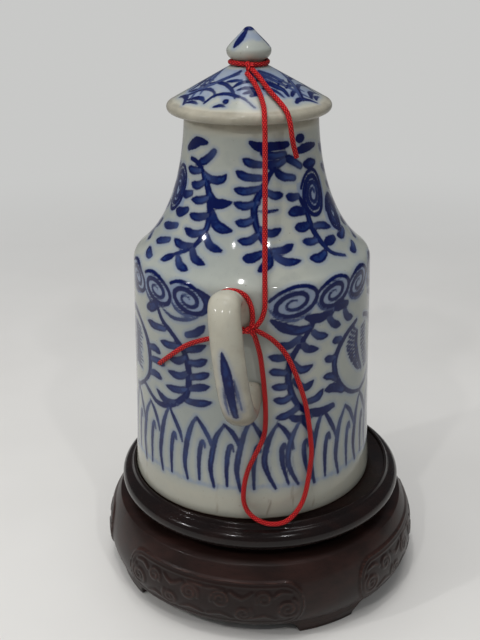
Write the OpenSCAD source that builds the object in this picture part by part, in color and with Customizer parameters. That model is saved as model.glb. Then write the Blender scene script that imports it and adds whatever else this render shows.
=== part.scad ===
// Porcelain teapot with a tied lid, standing in the seat of a turned and carved hardwood stand.
// Millimetres, +Z up. The origin is on the floor under the centre of the stand. The spout points
// along +Y and the handle along -Y. Heights on the pot are measured from its foot.

/* [Pot] */
// Height of the pot from its foot to the rim of its neck
pot_h = 177.5; // [165:0.5:195]
// Radius of the wall at the foot
foot_r = 59.4; // [56:0.1:62]
// Radius of the wall under the shoulder
shoulder_r = 55.8; // [53:0.1:58]
// Height of the turn of the shoulder
shoulder_h = 110; // [104:0.5:116]
// Rounding of the turn of the shoulder
shoulder_round = 5.5; // [4.6:0.1:8]
// Outer radius of the neck at its rim
neck_r = 30.3; // [28:0.1:34]
// Thickness of the thrown wall
wall = 4.5; // [3.5:0.1:4.6]
// Rounding of the edges of the neck's rim
rim_round = 1.2; // [0.6:0.1:1.6]
// Width of the foot ring
foot_ring_w = 6.5; // [4:0.1:9]
// Depth of the hollow inside the foot ring
foot_ring_h = 3.2; // [2:0.1:4]
// Thickness of the bottom over that hollow
bottom_t = 5.8; // [4.5:0.1:8]
// How far the pot stands off the middle of its seat, towards -X
pot_shift = 4; // [0:0.1:4]

/* [Spout] */
// Height of the middle of the spout's root
spout_root_h = 92; // [84:0.5:96]
// Height of the tip of the spout
spout_tip_h = 149; // [140:0.5:156]
// Reach of the middle of the tip from the pot's axis
spout_reach = 80; // [77:0.5:84]
// Outer radius of the spout at its tip
spout_tip_r = 6.8; // [6:0.1:8]
// Outer radius of the spout at its root
spout_root_r = 15.5; // [13.5:0.1:17]
// Thickness of the spout's wall at its tip
spout_wall = 2.1; // [1.5:0.1:2.6]
// Radius of each strainer hole in the wall behind the spout
strainer_r = 2.2; // [1.5:0.1:2.6]
// Distance from the middle strainer hole to the ring of holes around it
strainer_pitch = 6.2; // [5.6:0.1:6.8]
// Number of strainer holes in that ring
strainer_n = 6; // [4:1:6]

/* [Handle] */
// Reach of the middle of the handle's strap from the pot's axis
handle_reach = 79; // [76:0.5:84]
// Height of the upper root
handle_top_h = 95; // [93:0.5:97]
// Height of the lower root
handle_low_h = 65; // [60:0.5:68]
// How high the strap rises over its upper root before it turns down
handle_rise = 17.5; // [15:0.5:19]
// How low the strap dips under its lower root
handle_dip = 8; // [5:0.5:10]
// Width of the strap
strap_w = 13.8; // [12:0.1:15.5]
// Thickness of the strap
strap_t = 9.8; // [8:0.1:10.5]
// Lean of the handle to one side
handle_lean = 7; // [0:0.5:8]

/* [Lid] */
// Outer radius of the lid
lid_r = 37; // [35:0.1:39]
// Height of the lid from the pot's rim to the seat of the finial
lid_h = 19.8; // [18:0.1:22]
// Thickness of the lid's rounded edge
lid_edge = 4.6; // [4:0.1:5]
// Radius of the flat on which the finial sits
lid_flat_r = 8; // [7.4:0.1:9]
// Depth of the collar that reaches down into the neck
flange_h = 11; // [8:0.5:14]
// Thickness of that collar
flange_t = 3; // [2.2:0.1:3.6]
// Room between the collar and the inside of the neck
flange_gap = 1.6; // [1.3:0.1:2.4]
// How far the loose lid sits off the pot's axis, towards -X
lid_shift = 1; // [0:0.1:1]
// Radius of the small air hole at the back of the lid
vent_r = 1.1; // [0.6:0.1:1.5]
// Widest radius of the bud finial
bud_r = 9.9; // [9.2:0.1:11]
// Height of the bud from its seat to its tip
bud_h = 16.2; // [15:0.1:18]
// Radius of the neck under the bud, where the cord is tied
bud_neck_r = 7; // [5.8:0.1:7.2]

/* [Stand] */
// Height of the seat that the pot stands on
seat_h = 54; // [52:0.5:60]
// Height of the lip around the seat
lip_h = 1.7; // [1:0.1:2.2]
// Room around the pot's foot inside the lip
seat_play = 4.3; // [4.2:0.1:5]
// Radius of the round moulding around the top
torus_r = 5; // [4.5:0.1:5.1]
// Outer radius of the top
top_r = 70.6; // [70:0.1:73]
// Outer radius of the waist under the top
waist_r = 61.5; // [58:0.1:63]
// Height of the waist
waist_h = 5; // [4:0.1:6]
// Widest radius of the apron
apron_r = 78.2; // [77:0.1:80]
// Height of the apron above its feet
apron_h = 31; // [29:0.5:32]
// Thickness of the apron's wall
apron_t = 9.5; // [8:0.1:10]
// Raised height of the carved panels
panel_t = 0.9; // [0.5:0.1:1.2]
// Angle that each carved panel spans
panel_span = 68; // [60:1:70]
// Height of the feet under the apron
foot_h = 7.5; // [6:0.5:9]
// Outer radius under the feet
stand_foot_r = 73.5; // [71:0.1:75]
// Thickness of each foot
stand_foot_t = 10; // [8:0.1:11]
// Angle that each foot spans on the floor
stand_foot_span = 22; // [16:1:26]
// Direction of the first foot, counted from +X
stand_turn = 33; // [0:1:89]

/* [Cord] */
// Diameter of the braided cord
cord_d = 2.2; // [1.8:0.1:2.4]

/* [Hidden] */

$fn = 96;
PORCELAIN = "lavenderblush";
WOOD = [0.16, 0.08, 0.07];
CORD = "crimson";

// ---- heights of the stacked pieces ----
apron_top = foot_h + apron_h;
top_under = apron_top + waist_h;
lid_z = seat_h + pot_h;

// ---- curves ----
function bezier(p, t) =
    p[0] * pow(1 - t, 3) + p[1] * 3 * t * pow(1 - t, 2)
    + p[2] * 3 * t * t * (1 - t) + p[3] * pow(t, 3);
function curve(p, n) = [for (i = [0:n]) bezier(p, i / n)];
function arc(c, r, from, to, n) = [
    for (i = [0:n]) c + r * [cos(from + (to - from) * i / n), sin(from + (to - from) * i / n)]
];
function unit(v) = v / norm(v);
function way(p, i) = unit(p[min(i + 1, len(p) - 1)] - p[max(i - 1, 0)]);
// A path in the plane moved to its left by d
function beside(p, d) = [for (i = [0:len(p) - 1]) let (w = way(p, i)) p[i] + d * [-w.y, w.x]];

// ---- outline of the pot ----
foot_edge = 0.8;
shoulder_turn = 52;
// How far the neck's line is drawn out of the shoulder and down from the rim
neck_pull_low = 17.2;
neck_pull_top = [1.1, -30];
wall_line = curve([
    [foot_r, 1.5 * foot_edge],
    [foot_r - 0.6 * (foot_r - shoulder_r), 0.3 * shoulder_h],
    [shoulder_r + 0.3 * (foot_r - shoulder_r), 0.75 * shoulder_h],
    [shoulder_r, shoulder_h]
], 8);
shoulder_line = arc([shoulder_r - shoulder_round, shoulder_h], shoulder_round, 0, shoulder_turn, 5);
shoulder_end = shoulder_line[len(shoulder_line) - 1];
neck_top = [neck_r, pot_h - rim_round];
neck_line = curve([
    shoulder_end,
    shoulder_end + neck_pull_low * [-sin(shoulder_turn), cos(shoulder_turn)],
    neck_top + neck_pull_top,
    neck_top
], 14);
outer_line = concat(
    [for (i = [0:len(wall_line) - 2]) wall_line[i]],
    shoulder_line,
    [for (i = [1:len(neck_line) - 1]) neck_line[i]]
);
inner_line = beside(outer_line, wall);
floor_h = foot_ring_h + bottom_t;
floor_round = 7;

function wall_at(h) = lookup(h, [for (p = outer_line) [p.y, p.x]]);

module pot_outside() {
    rotate_extrude()
        polygon(concat([[0, 0], [foot_r - foot_edge, 0]], outer_line, [[0, pot_h - rim_round]]));
}

// ---- sweeps ----
// A closed tube through rings of points
module skin(rings) {
    n = len(rings[0]);
    m = len(rings);
    polyhedron(
        points = [for (r = rings) each r],
        faces = concat(
            [[for (i = [n - 1:-1:0]) i]],
            [for (k = [0:m - 2]) for (i = [0:n - 1])
                [k * n + i, k * n + (i + 1) % n, (k + 1) * n + (i + 1) % n, (k + 1) * n + i]],
            [[for (i = [0:n - 1]) (m - 1) * n + i]]
        ),
        convexity = 6
    );
}

// An oval ring around a point of a line that runs in the YZ plane
function oval(p, w, a, b, n) = [
    for (i = [0:n - 1])
        let (q = 360 * i / n)
        [a * cos(q), p.x - b * sin(q) * w.y, p.y + b * sin(q) * w.x]
];

// ---- outline of the spout ----
spout_n = 14;
spout_sides = 28;
spout_taper = 1.6;
// How much thicker the spout's wall is at its root than at its tip
spout_thicken = 1.6;
spout_pull_low = 13;
spout_pull_top = 8;
spout_line = curve([
    [wall_at(spout_root_h) - wall - 1, spout_root_h - 3],
    [wall_at(spout_root_h) + spout_pull_low, spout_root_h + 2],
    [spout_reach - spout_pull_top, 0.5 * (spout_root_h + spout_tip_h) - 2],
    [spout_reach, spout_tip_h]
], spout_n);
function spout_r(i) =
    spout_tip_r + (spout_root_r - spout_tip_r) * pow(1 - i / spout_n, spout_taper);
function spout_t(i) = spout_wall + spout_thicken * (1 - i / spout_n);
module spout_shape() {
    skin([
        for (i = [0:spout_n])
            oval(spout_line[i], way(spout_line, i), spout_r(i), spout_r(i), spout_sides)
    ]);
}
// The bore runs on past both ends of the spout
module spout_bore() {
    ends = [2 * spout_line[0] - spout_line[1], 2 * spout_line[spout_n] - spout_line[spout_n - 1]];
    line = concat([ends[0]], spout_line, [ends[1]]);
    skin([
        for (i = [0:spout_n + 2])
            let (k = min(max(i - 1, 0), spout_n), r = spout_r(k) - spout_t(k))
            oval(line[i], way(line, i), r, r, spout_sides)
    ]);
}

// ---- outline of the handle ----
root_flare = 0.9;
root_depth = 6;
// How far the line is drawn out of the upper root, outwards and upwards
root_pull = [2, 9];
handle_n = 10;
handle_sides = 20;
// Height of the handle's farthest point, and how far the line is drawn up and down from it
handle_mid_h = 86.5;
handle_mid_pull = [0.8, -18];
handle_pull_up = 2 * handle_rise + 3;
handle_pull_down = 2 * handle_dip + 1;
handle_tuck = 8;
// How far the middle of the strap stands to the side of the pot's axis
handle_side = 1.3;
handle_line = concat(
    curve([
        [wall_at(handle_top_h) - root_depth, handle_top_h],
        [wall_at(handle_top_h), handle_top_h] + root_pull,
        [handle_reach - 2, handle_top_h + handle_pull_up],
        [handle_reach, handle_mid_h]
    ], handle_n),
    [for (i = [1:handle_n]) bezier([
        [handle_reach, handle_mid_h],
        [handle_reach, handle_mid_h] + handle_mid_pull,
        [handle_reach - handle_tuck, handle_low_h - handle_pull_down],
        [wall_at(handle_low_h) - root_depth, handle_low_h + 2.5]
    ], i / handle_n)]
);
function at_root(i) = pow(abs(i - handle_n) / handle_n, 4);
module handle_shape() {
    skin([
        for (i = [0:2 * handle_n])
            oval(handle_line[i], way(handle_line, i), strap_w / 2 + root_flare * at_root(i),
                 strap_t / 2 + root_flare * at_root(i), handle_sides)
    ]);
}

// ---- cords ----
// A rounded route through points: each stretch is split by a Catmull-Rom curve
function between(a, b, c, d, t) =
    0.5 * (2 * b + (c - a) * t + (2 * a - 5 * b + 4 * c - d) * t * t
    + (3 * b - a - 3 * c + d) * t * t * t);
function route(p, k) = concat(
    [for (i = [0:len(p) - 2]) for (j = [0:k - 1])
        between(p[max(i - 1, 0)], p[i], p[i + 1], p[min(i + 2, len(p) - 1)], j / k)],
    [p[len(p) - 1]]
);
// A direction across the cord, carried along it without a twist
function across(p, i) =
    i == 0
        ? let (w = way(p, 0)) unit(cross(w, abs(w.z) < 0.9 ? [0, 0, 1] : [1, 0, 0]))
        : let (w = way(p, i), s = across(p, i - 1)) unit(s - w * (s * w));
module cord(p) {
    skin([
        for (i = [0:len(p) - 1])
            let (w = way(p, i), s = across(p, i), u = cross(w, s))
            [for (j = [0:7]) p[i] + cord_d / 2 * (s * cos(45 * j) + u * sin(45 * j))]
    ]);
}
// A tight overhand knot: three small turns of the cord pulled together
module knot(at, d) {
    translate(at)
        for (a = [0:60:120])
            rotate([90, 0, a]) rotate([0, 25, 0])
                rotate_extrude($fn = 32) translate([(d - cord_d) / 2, 0]) circle(d = cord_d, $fn = 16);
}

// Routes of the cords, through their middles
handle_knot_at = [3.6, -60.6, 150.4];
handle_knot_size = 5.4;
lid_knot_at = [-3.2, -11.6, 252.2];
lid_knot_size = 4.6;
tether_points = [
    [-4, -14.4, 249.7], [-1.5, -17.6, 247.7], [0.8, -21, 245.5], [2.7, -24.6, 243.2],
    [4.3, -28.6, 240.8], [5.5, -32.6, 238.7], [6.2, -36.1, 236.2], [6.6, -38.5, 232.5],
    [6.9, -39.8, 226.8], [7.5, -44.3, 209], [8.1, -49.2, 190], [8.7, -54.1, 171],
    [9, -56, 163.4], [8.9, -56.8, 158.4], [7.8, -57.8, 154.6], [6.3, -59.2, 152.5]
];
lid_tail_points = [
    [-1.8, -13, 251], [1.6, -16.4, 248.4], [4.4, -19.6, 245.7], [7.4, -22.9, 243.1],
    [10.6, -26, 240.6], [13.4, -29.3, 238.3], [15.4, -31.9, 235.8], [16.6, -33.3, 232.2],
    [17.2, -33, 228], [18, -32, 223], [19.2, -30.2, 217.6]
];
hitch_points = [
    [3.8, -60.4, 151.8], [4.2, -59.4, 155], [3.4, -58, 160], [0.6, -56.9, 164.6],
    [-4.6, -56.6, 166.4], [-9.7, -56.9, 165], [-13.2, -58, 160.5], [-13.6, -59.4, 155.5],
    [-10.4, -60.3, 151.6], [-4.5, -60.6, 150.6], [0.8, -60.6, 150.6]
];
bow_points = [
    [4.8, -60, 148.3], [6.4, -59.2, 142.4], [7.8, -58.8, 135], [9.5, -59.1, 118.4],
    [9.7, -58.9, 104], [8.2, -59, 96], [2, -60, 81], [0, -60.8, 68.6], [1.6, -61.6, 61.2],
    [6.6, -63.9, 57.9], [13, -65.2, 56.9], [19.4, -63, 57.2], [24.2, -57.8, 59.8],
    [27.5, -53, 66], [29.6, -50.6, 82], [29.4, -50.4, 93], [26.5, -51.4, 113],
    [19.9, -54.2, 133.6], [13.5, -56.8, 143.8], [6.4, -59.8, 149.8]
];
end_tail_points = [
    [1.4, -60.8, 150], [-5, -60.6, 148], [-13.6, -58.2, 144.8], [-24, -54.9, 140],
    [-31.6, -51.3, 133.8], [-40, -45.9, 125.4]
];

module on_pot() {
    translate([-pot_shift, 0, seat_h]) children();
}

// ---- pot ----
// The floor and its turned foot ring, which the wall is luted on
module pot_foot() {
    color(PORCELAIN)
    on_pot()
    rotate_extrude()
        polygon(concat(
            [[0, foot_ring_h], [foot_r - foot_ring_w, foot_ring_h],
             [foot_r - foot_ring_w + foot_edge, 0], [foot_r - foot_edge, 0]],
            [for (p = outer_line) if (p.y < floor_h) p],
            [[wall_at(floor_h), floor_h], [0, floor_h]]
        ));
}

module pot_body() {
    color(PORCELAIN)
    on_pot()
    difference() {
        rotate_extrude()
            polygon(concat(
                [[wall_at(floor_h), floor_h]],
                [for (p = outer_line) if (p.y > floor_h) p],
                arc([neck_r - rim_round, pot_h - rim_round], rim_round, 0, 90, 4),
                arc([neck_r - wall + rim_round, pot_h - rim_round], rim_round, 90, 180, 4),
                [for (i = [len(inner_line) - 1:-1:0]) if (inner_line[i].y > floor_h + floor_round + 1)
                    inner_line[i]],
                arc([foot_r - wall - 0.4 - floor_round, floor_h + floor_round], floor_round, 0, -90, 5)
            ));
        translate([0, 0, spout_root_h - 2]) rotate([-90, 0, 0]) {
            cylinder(r = strainer_r, h = shoulder_r + wall, $fn = 32);
            for (i = [0:strainer_n - 1])
                rotate([0, 0, (i + 0.5) * 360 / strainer_n]) translate([strainer_pitch, 0, 0])
                    cylinder(r = strainer_r, h = shoulder_r + wall, $fn = 32);
        }
    }
}

module spout() {
    color(PORCELAIN)
    on_pot()
    difference() {
        spout_shape();
        spout_bore();
        pot_outside();
    }
}

module handle() {
    color(PORCELAIN)
    on_pot()
    difference() {
        translate([handle_side, 0, handle_mid_h]) rotate([0, -handle_lean, 0])
            translate([0, 0, -handle_mid_h]) mirror([0, 1, 0]) handle_shape();
        pot_outside();
    }
}

// ---- lid ----
module on_lid() {
    translate([-pot_shift - lid_shift, 0, lid_z]) children();
}
edge_r = lid_edge / 2;
flange_r = neck_r - wall - flange_gap;
lid_slope = atan((lid_h - lid_edge) / (lid_r - edge_r - lid_flat_r));
lid_t = 4.8;
// The lid's rounded edge runs between these angles
edge_from = -75;
edge_to = 90 - lid_slope;
hollow_r = flange_r - flange_t;
hollow_top = lid_h - lid_t;
flange_edge = 0.8;
vent_at = 0.55 * lid_r;
// Clear skin between the cord's collar and the porcelain it is tied around
collar_gap = 0.1;

module lid_cap() {
    color(PORCELAIN)
    on_lid()
    difference() {
        rotate_extrude()
            polygon(concat(
                [[hollow_r, -flange_h], [flange_r - flange_edge, -flange_h],
                 [flange_r, -flange_h + 2 * flange_edge], [flange_r, 0], [lid_r - edge_r - 0.6, 0]],
                arc([lid_r - edge_r, edge_r], edge_r, edge_from, edge_to, 8),
                [[lid_flat_r, lid_h], [0, lid_h], [0, hollow_top], [3, hollow_top]],
                curve([[5, hollow_top - 0.4], [12, hollow_top - 5],
                       [hollow_r - 0.5, 6], [hollow_r, 0]], 5)
            ));
        translate([0, vent_at, 0]) cylinder(r = vent_r, h = lid_h, $fn = 24);
    }
}

module finial() {
    color(PORCELAIN)
    on_lid()
    translate([0, 0, lid_h])
        rotate_extrude()
            polygon(concat(
                [[0, 0], [bud_neck_r + 0.5, 0], [bud_neck_r, 0.6], [bud_neck_r, 1.6]],
                curve([[bud_neck_r + 0.3, 0.15 * bud_h], [0.86 * bud_r, 0.18 * bud_h],
                       [bud_r, 0.26 * bud_h], [bud_r, 0.38 * bud_h]], 5),
                curve([[0.99 * bud_r, 0.43 * bud_h], [0.84 * bud_r, 0.58 * bud_h],
                       [0.465 * bud_r, 0.765 * bud_h], [0.22 * bud_r, 0.94 * bud_h]], 6),
                [[0.1 * bud_r, 0.99 * bud_h], [0, bud_h]]
            ));
}

// ---- cords on the lid ----
module lid_collar() {
    color(CORD)
    on_lid()
    translate([0, 0, lid_h + cord_d / 2 + collar_gap])
        rotate_extrude()
            translate([bud_neck_r + cord_d / 2 + collar_gap, 0]) circle(d = cord_d, $fn = 24);
}
module lid_knot() { color(CORD) knot(lid_knot_at, lid_knot_size); }
module lid_tail() { color(CORD) cord(lid_tail_points); }
module tether() { color(CORD) cord(tether_points); }

// ---- cords on the handle ----
module hitch_ring() { color(CORD) cord(hitch_points); }
module handle_knot() { color(CORD) knot(handle_knot_at, handle_knot_size); }
module bow_loop() { color(CORD) cord(route(bow_points, 2)); }
module end_tail() { color(CORD) cord(route(end_tail_points, 2)); }

// ---- stand ----
seat_r = foot_r + seat_play;
// Angle at which the round moulding runs into the slope up to the lip
torus_to = 75;
waist_t = 9;
// How far the apron draws in at its lower edge, at its shoulder and at the edge of its top
apron_low_in = 3;
apron_shoulder_in = 6;
apron_top_in = 8;
apron_swell = 3.6;
apron_top_t = 5;
// Lower edge of the carved panels over the apron's, and their height as a share of it
panel_up = 0.8;
panel_share = 0.78;
panel_end = 9;
// How far each foot's bracket spreads under the apron
bracket_run = 9;
module stand_top() {
    color(WOOD)
    rotate_extrude($fn = 128)
        polygon(concat(
            [[0, top_under], [top_r - torus_r - 1, top_under]],
            arc([top_r - torus_r, top_under + torus_r], torus_r, -90, torus_to, 14),
            curve([[top_r - torus_r + 0.6, top_under + 2 * torus_r], [seat_r + 1.9, seat_h - 0.2],
                   [seat_r + 1.7, seat_h + lip_h - 0.3], [seat_r + 1, seat_h + lip_h]], 5),
            [[seat_r + 0.2, seat_h + lip_h - 0.2], [seat_r, seat_h + lip_h - 0.7], [seat_r, seat_h],
             [0, seat_h]]
        ));
}

module stand_waist() {
    color(WOOD)
    translate([0, 0, apron_top])
        difference() {
            cylinder(r = waist_r, h = waist_h, $fn = 128);
            translate([0, 0, -1]) cylinder(r = waist_r - waist_t, h = waist_h + 2, $fn = 128);
        }
}

// Outer line of the apron from its lower edge up to its shoulder, moved out by d
function apron_line(d) = curve([
    [apron_r - apron_low_in + d, foot_h],
    [apron_r + apron_swell + d, foot_h + 0.28 * apron_h],
    [apron_r - 1.2 + d, foot_h + 0.76 * apron_h],
    [apron_r - apron_shoulder_in + d, apron_top]
], 10);

module stand_apron() {
    color(WOOD) {
        rotate_extrude($fn = 128)
            polygon(concat(
                [[apron_r - apron_low_in - apron_t, foot_h]],
                apron_line(0),
                [[waist_r - waist_t, apron_top], [waist_r - waist_t, apron_top - apron_top_t],
                 [apron_r - apron_top_in - apron_t, apron_top - apron_top_t],
                 [apron_r - apron_t, foot_h + 0.5 * apron_h]]
            ));
        for (k = [0:3]) rotate([0, 0, stand_turn + 45 + 90 * k]) apron_panel();
    }
}

// A raised panel with rounded ends that follows the swell of the apron
module apron_panel() {
    low = foot_h + panel_up;
    high = foot_h + panel_share * apron_h;
    half = apron_r * sin(panel_span / 2);
    intersection() {
        rotate([0, 0, -50]) rotate_extrude(angle = 100, $fn = 128)
            polygon(concat(apron_line(panel_t), [for (i = [10:-1:0]) apron_line(-1)[i]]));
        rotate([90, 0, 90])
            linear_extrude(2 * apron_r)
                translate([0, (low + high) / 2]) hull() {
                    for (s = [-1, 1]) translate([s * (half - panel_end), 0]) scale([0.8, 1])
                        circle(d = high - low, $fn = 32);
                }
    }
}

// One bracket foot, drawn pointing along +X
module stand_foot(k) {
    half = stand_foot_r * sin(stand_foot_span / 2);
    color(WOOD)
    rotate([0, 0, stand_turn + 90 * k])
    intersection() {
        rotate([0, 0, -30]) rotate_extrude(angle = 60, $fn = 128)
            polygon([
                [stand_foot_r, 0], [stand_foot_r + 0.2, 0.2 * foot_h],
                [apron_r - apron_low_in - 0.4, 0.6 * foot_h], [apron_r - apron_low_in, foot_h],
                [apron_r - apron_low_in - apron_t, foot_h], [stand_foot_r - stand_foot_t, 0]
            ]);
        rotate([90, 0, 90])
            linear_extrude(apron_r)
                polygon(concat(
                    curve([[half, 0], [half + 1, 0.5 * foot_h],
                           [half + 3, foot_h], [half + bracket_run, foot_h]], 6),
                    curve([[-half - bracket_run, foot_h], [-half - 3, foot_h],
                           [-half - 1, 0.5 * foot_h], [-half, 0]], 6)
                ));
    }
}

stand_top();
stand_waist();
stand_apron();
stand_foot(0);  // stand_foot_a
stand_foot(1);  // stand_foot_b
stand_foot(2);  // stand_foot_c
stand_foot(3);  // stand_foot_d
pot_foot();
pot_body();
handle();
spout();
lid_cap();
finial();
lid_collar();
lid_knot();
lid_tail();
tether();
hitch_ring();
handle_knot();
bow_loop();
end_tail();
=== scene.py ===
"""A blue and white porcelain teapot, its lid tied on with red cord, in a carved hardwood stand.

Everything is drawn in millimetres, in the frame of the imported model, and made metres when its mesh is
finished. Turns are degrees round an upright axis from the side of the handle, positive towards +X.
"""
import math

import bmesh
import bpy
import numpy as np
from mathutils import Matrix, Vector


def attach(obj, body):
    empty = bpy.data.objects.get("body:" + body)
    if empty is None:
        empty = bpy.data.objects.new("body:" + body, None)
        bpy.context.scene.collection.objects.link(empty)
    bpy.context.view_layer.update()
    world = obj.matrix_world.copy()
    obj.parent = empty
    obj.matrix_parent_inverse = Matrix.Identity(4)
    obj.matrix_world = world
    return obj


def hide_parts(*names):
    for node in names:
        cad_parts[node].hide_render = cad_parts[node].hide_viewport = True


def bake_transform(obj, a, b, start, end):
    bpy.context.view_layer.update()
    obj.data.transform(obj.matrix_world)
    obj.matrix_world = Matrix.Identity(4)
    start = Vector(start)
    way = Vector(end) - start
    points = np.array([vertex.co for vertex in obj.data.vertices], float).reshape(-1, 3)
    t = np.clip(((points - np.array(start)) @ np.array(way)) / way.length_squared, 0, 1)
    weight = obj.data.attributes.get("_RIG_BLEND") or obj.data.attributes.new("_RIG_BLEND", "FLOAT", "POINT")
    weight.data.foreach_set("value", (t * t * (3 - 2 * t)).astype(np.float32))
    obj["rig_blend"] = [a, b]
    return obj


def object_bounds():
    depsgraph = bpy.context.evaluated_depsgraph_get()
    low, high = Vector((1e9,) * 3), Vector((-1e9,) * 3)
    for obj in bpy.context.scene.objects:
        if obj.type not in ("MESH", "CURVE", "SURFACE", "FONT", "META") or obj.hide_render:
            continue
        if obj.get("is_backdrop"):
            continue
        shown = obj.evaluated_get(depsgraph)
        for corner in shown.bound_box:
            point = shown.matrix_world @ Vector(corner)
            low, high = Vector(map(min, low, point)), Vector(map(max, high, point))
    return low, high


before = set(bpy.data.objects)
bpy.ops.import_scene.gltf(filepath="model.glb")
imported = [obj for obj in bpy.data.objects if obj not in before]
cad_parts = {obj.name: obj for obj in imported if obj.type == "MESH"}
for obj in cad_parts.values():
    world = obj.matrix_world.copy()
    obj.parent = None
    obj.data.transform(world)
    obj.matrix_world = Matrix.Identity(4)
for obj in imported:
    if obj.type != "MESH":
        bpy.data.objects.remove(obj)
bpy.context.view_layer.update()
scene = bpy.context.scene
MM = 0.001


# ---------------------------------------------------------------- curves

def bezier(p, steps):
    """Points on a cubic drawn by four handles."""
    p = np.array(p, float)
    t = np.linspace(0, 1, steps + 1)[:, None]
    return (p[0] * (1 - t) ** 3 + 3 * p[1] * t * (1 - t) ** 2 + 3 * p[2] * t * t * (1 - t)
            + p[3] * t ** 3)


def arc(centre, radius, start, end, steps):
    """Points on a round corner, by degrees."""
    a = np.radians(np.linspace(start, end, steps + 1))
    return np.array(centre, float) + radius * np.stack([np.cos(a), np.sin(a)], 1)


def rounded(points, parts):
    """A smooth line through points, each stretch split into parts."""
    p = np.array(points, float)
    before, after = np.vstack([p[:1], p[:-1]]), np.vstack([p[1:], p[-1:]])
    after2 = np.vstack([p[2:], p[-1:], p[-1:]])
    out = []
    for i in range(len(p) - 1):
        for t in np.arange(parts) / parts:
            a, b, c, d = before[i], p[i], after[i], after2[i]
            out.append(0.5 * (2 * b + (c - a) * t + (2 * a - 5 * b + 4 * c - d) * t * t
                              + (3 * b - a - 3 * c + d) * t ** 3))
    return np.array(out + [p[-1]])


def lengths(line):
    """How far along a line each of its points lies."""
    return np.concatenate([[0], np.cumsum(np.linalg.norm(np.diff(line, axis=0), axis=1))])


def even(line, step):
    """The same line with its points a step apart."""
    s = lengths(line)
    t = np.linspace(0, s[-1], max(2, int(round(s[-1] / step)) + 1))
    return np.stack([np.interp(t, s, line[:, k]) for k in range(line.shape[1])], 1)


# ---------------------------------------------------------------- shader maths

class Value:
    """A number on a surface. Arithmetic on it adds the nodes that work it out."""

    def __init__(self, finish, socket):
        self.finish, self.socket = finish, socket

    def op(self, operation, *others):
        inputs = dict(enumerate((self, *others)))
        return self.finish.node("ShaderNodeMath", dict(operation=operation), inputs)

    def __add__(self, other):
        return self.op("ADD", other)

    def __sub__(self, other):
        return self.op("SUBTRACT", other)

    def __mul__(self, other):
        return self.op("MULTIPLY", other)

    def sin(self):
        return self.op("SINE")

    def abs(self):
        return self.op("ABSOLUTE")

    def least(self, other):
        return self.op("MINIMUM", other)

    def step(self, low, high):
        """0 at low, 1 at high, and a smooth rise or fall between them."""
        inputs = {"Value": self, 1: low, 2: high}
        if low > high:
            inputs = {"Value": self, 1: high, 2: low, 3: 1.0, 4: 0.0}
        return self.finish.node("ShaderNodeMapRange", dict(interpolation_type="SMOOTHSTEP"), inputs)


class Finish:
    """A material in the making."""

    def __init__(self, name, **shader):
        self.material = bpy.data.materials.new(name)
        self.material.use_nodes = True
        self.tree = self.material.node_tree
        self.shader = self.tree.nodes["Principled BSDF"]
        for socket, value in shader.items():
            self.set(socket.replace("_", " "), value)
        self.place = self.node("ShaderNodeTexCoord", out="Object")

    def plug(self, socket, value):
        if isinstance(value, Value):
            self.tree.links.new(value.socket, socket)
        elif isinstance(value, tuple) and len(value) == 3 and len(socket.default_value) == 4:
            socket.default_value = (*value, 1)
        else:
            socket.default_value = value

    def node(self, kind, settings=None, inputs=None, out=0):
        n = self.tree.nodes.new(kind)
        for name, value in (settings or {}).items():
            setattr(n, name, value)
        for name, value in (inputs or {}).items():
            self.plug(n.inputs[name], value)
        return Value(self, n.outputs[out])

    def set(self, socket, value):
        self.plug(self.shader.inputs[socket], value)

    def noise(self, size, detail=2.0, rough=0.5, place=None):
        """Mottling with spots about size millimetres across."""
        inputs = {"Vector": place or self.place, "Scale": 1 / (size * MM), "Detail": detail,
                  "Roughness": rough}
        return self.node("ShaderNodeTexNoise", None, inputs)

    def stretched(self, x, y, z):
        """The place with each axis drawn out by a factor."""
        return self.node("ShaderNodeVectorMath", dict(operation="MULTIPLY"), {0: self.place, 1: (x, y, z)})

    def layer(self, name):
        """A number kept at the points of the piece."""
        return self.node("ShaderNodeAttribute", dict(attribute_name=name), out="Fac")

    def mix(self, share, a, b):
        """Colour a, turning to b as share goes from 0 to 1."""
        return self.node("ShaderNodeMix", dict(data_type="RGBA"), {0: share, 6: a, 7: b}, 2)

    def bump(self, height, strength, depth):
        """Small relief, in which a height of 1 stands for depth millimetres."""
        inputs = {"Height": height, "Strength": strength, "Distance": depth * MM}
        self.set("Normal", self.node("ShaderNodeBump", None, inputs))


# ---------------------------------------------------------------- pieces

def finished(name, bm, body, finish, stands_for, layers=None, crease=None):
    """A mesh in millimetres becomes a piece in place of its solids, which rides on its body if it has one."""
    bm.verts.index_update()
    mesh = bpy.data.meshes.new(name)
    bm.to_mesh(mesh)
    bm.free()
    for layer, values in (layers or {}).items():
        kept = mesh.attributes.new(layer, "FLOAT", "POINT")
        kept.data.foreach_set("value", np.asarray(values, np.float32))
    mesh.transform(Matrix.Scale(MM, 4))
    mesh.shade_smooth()
    if crease is not None:
        mesh.set_sharp_from_angle(angle=math.radians(crease))
    mesh.materials.append(finish)
    piece = bpy.data.objects.new(name, mesh)
    scene.collection.objects.link(piece)
    if body is not None:
        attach(piece, body)
    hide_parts(*stands_for)
    return piece


WHOLE = (0, 360)
SLICE_STEPS = 24


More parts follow.
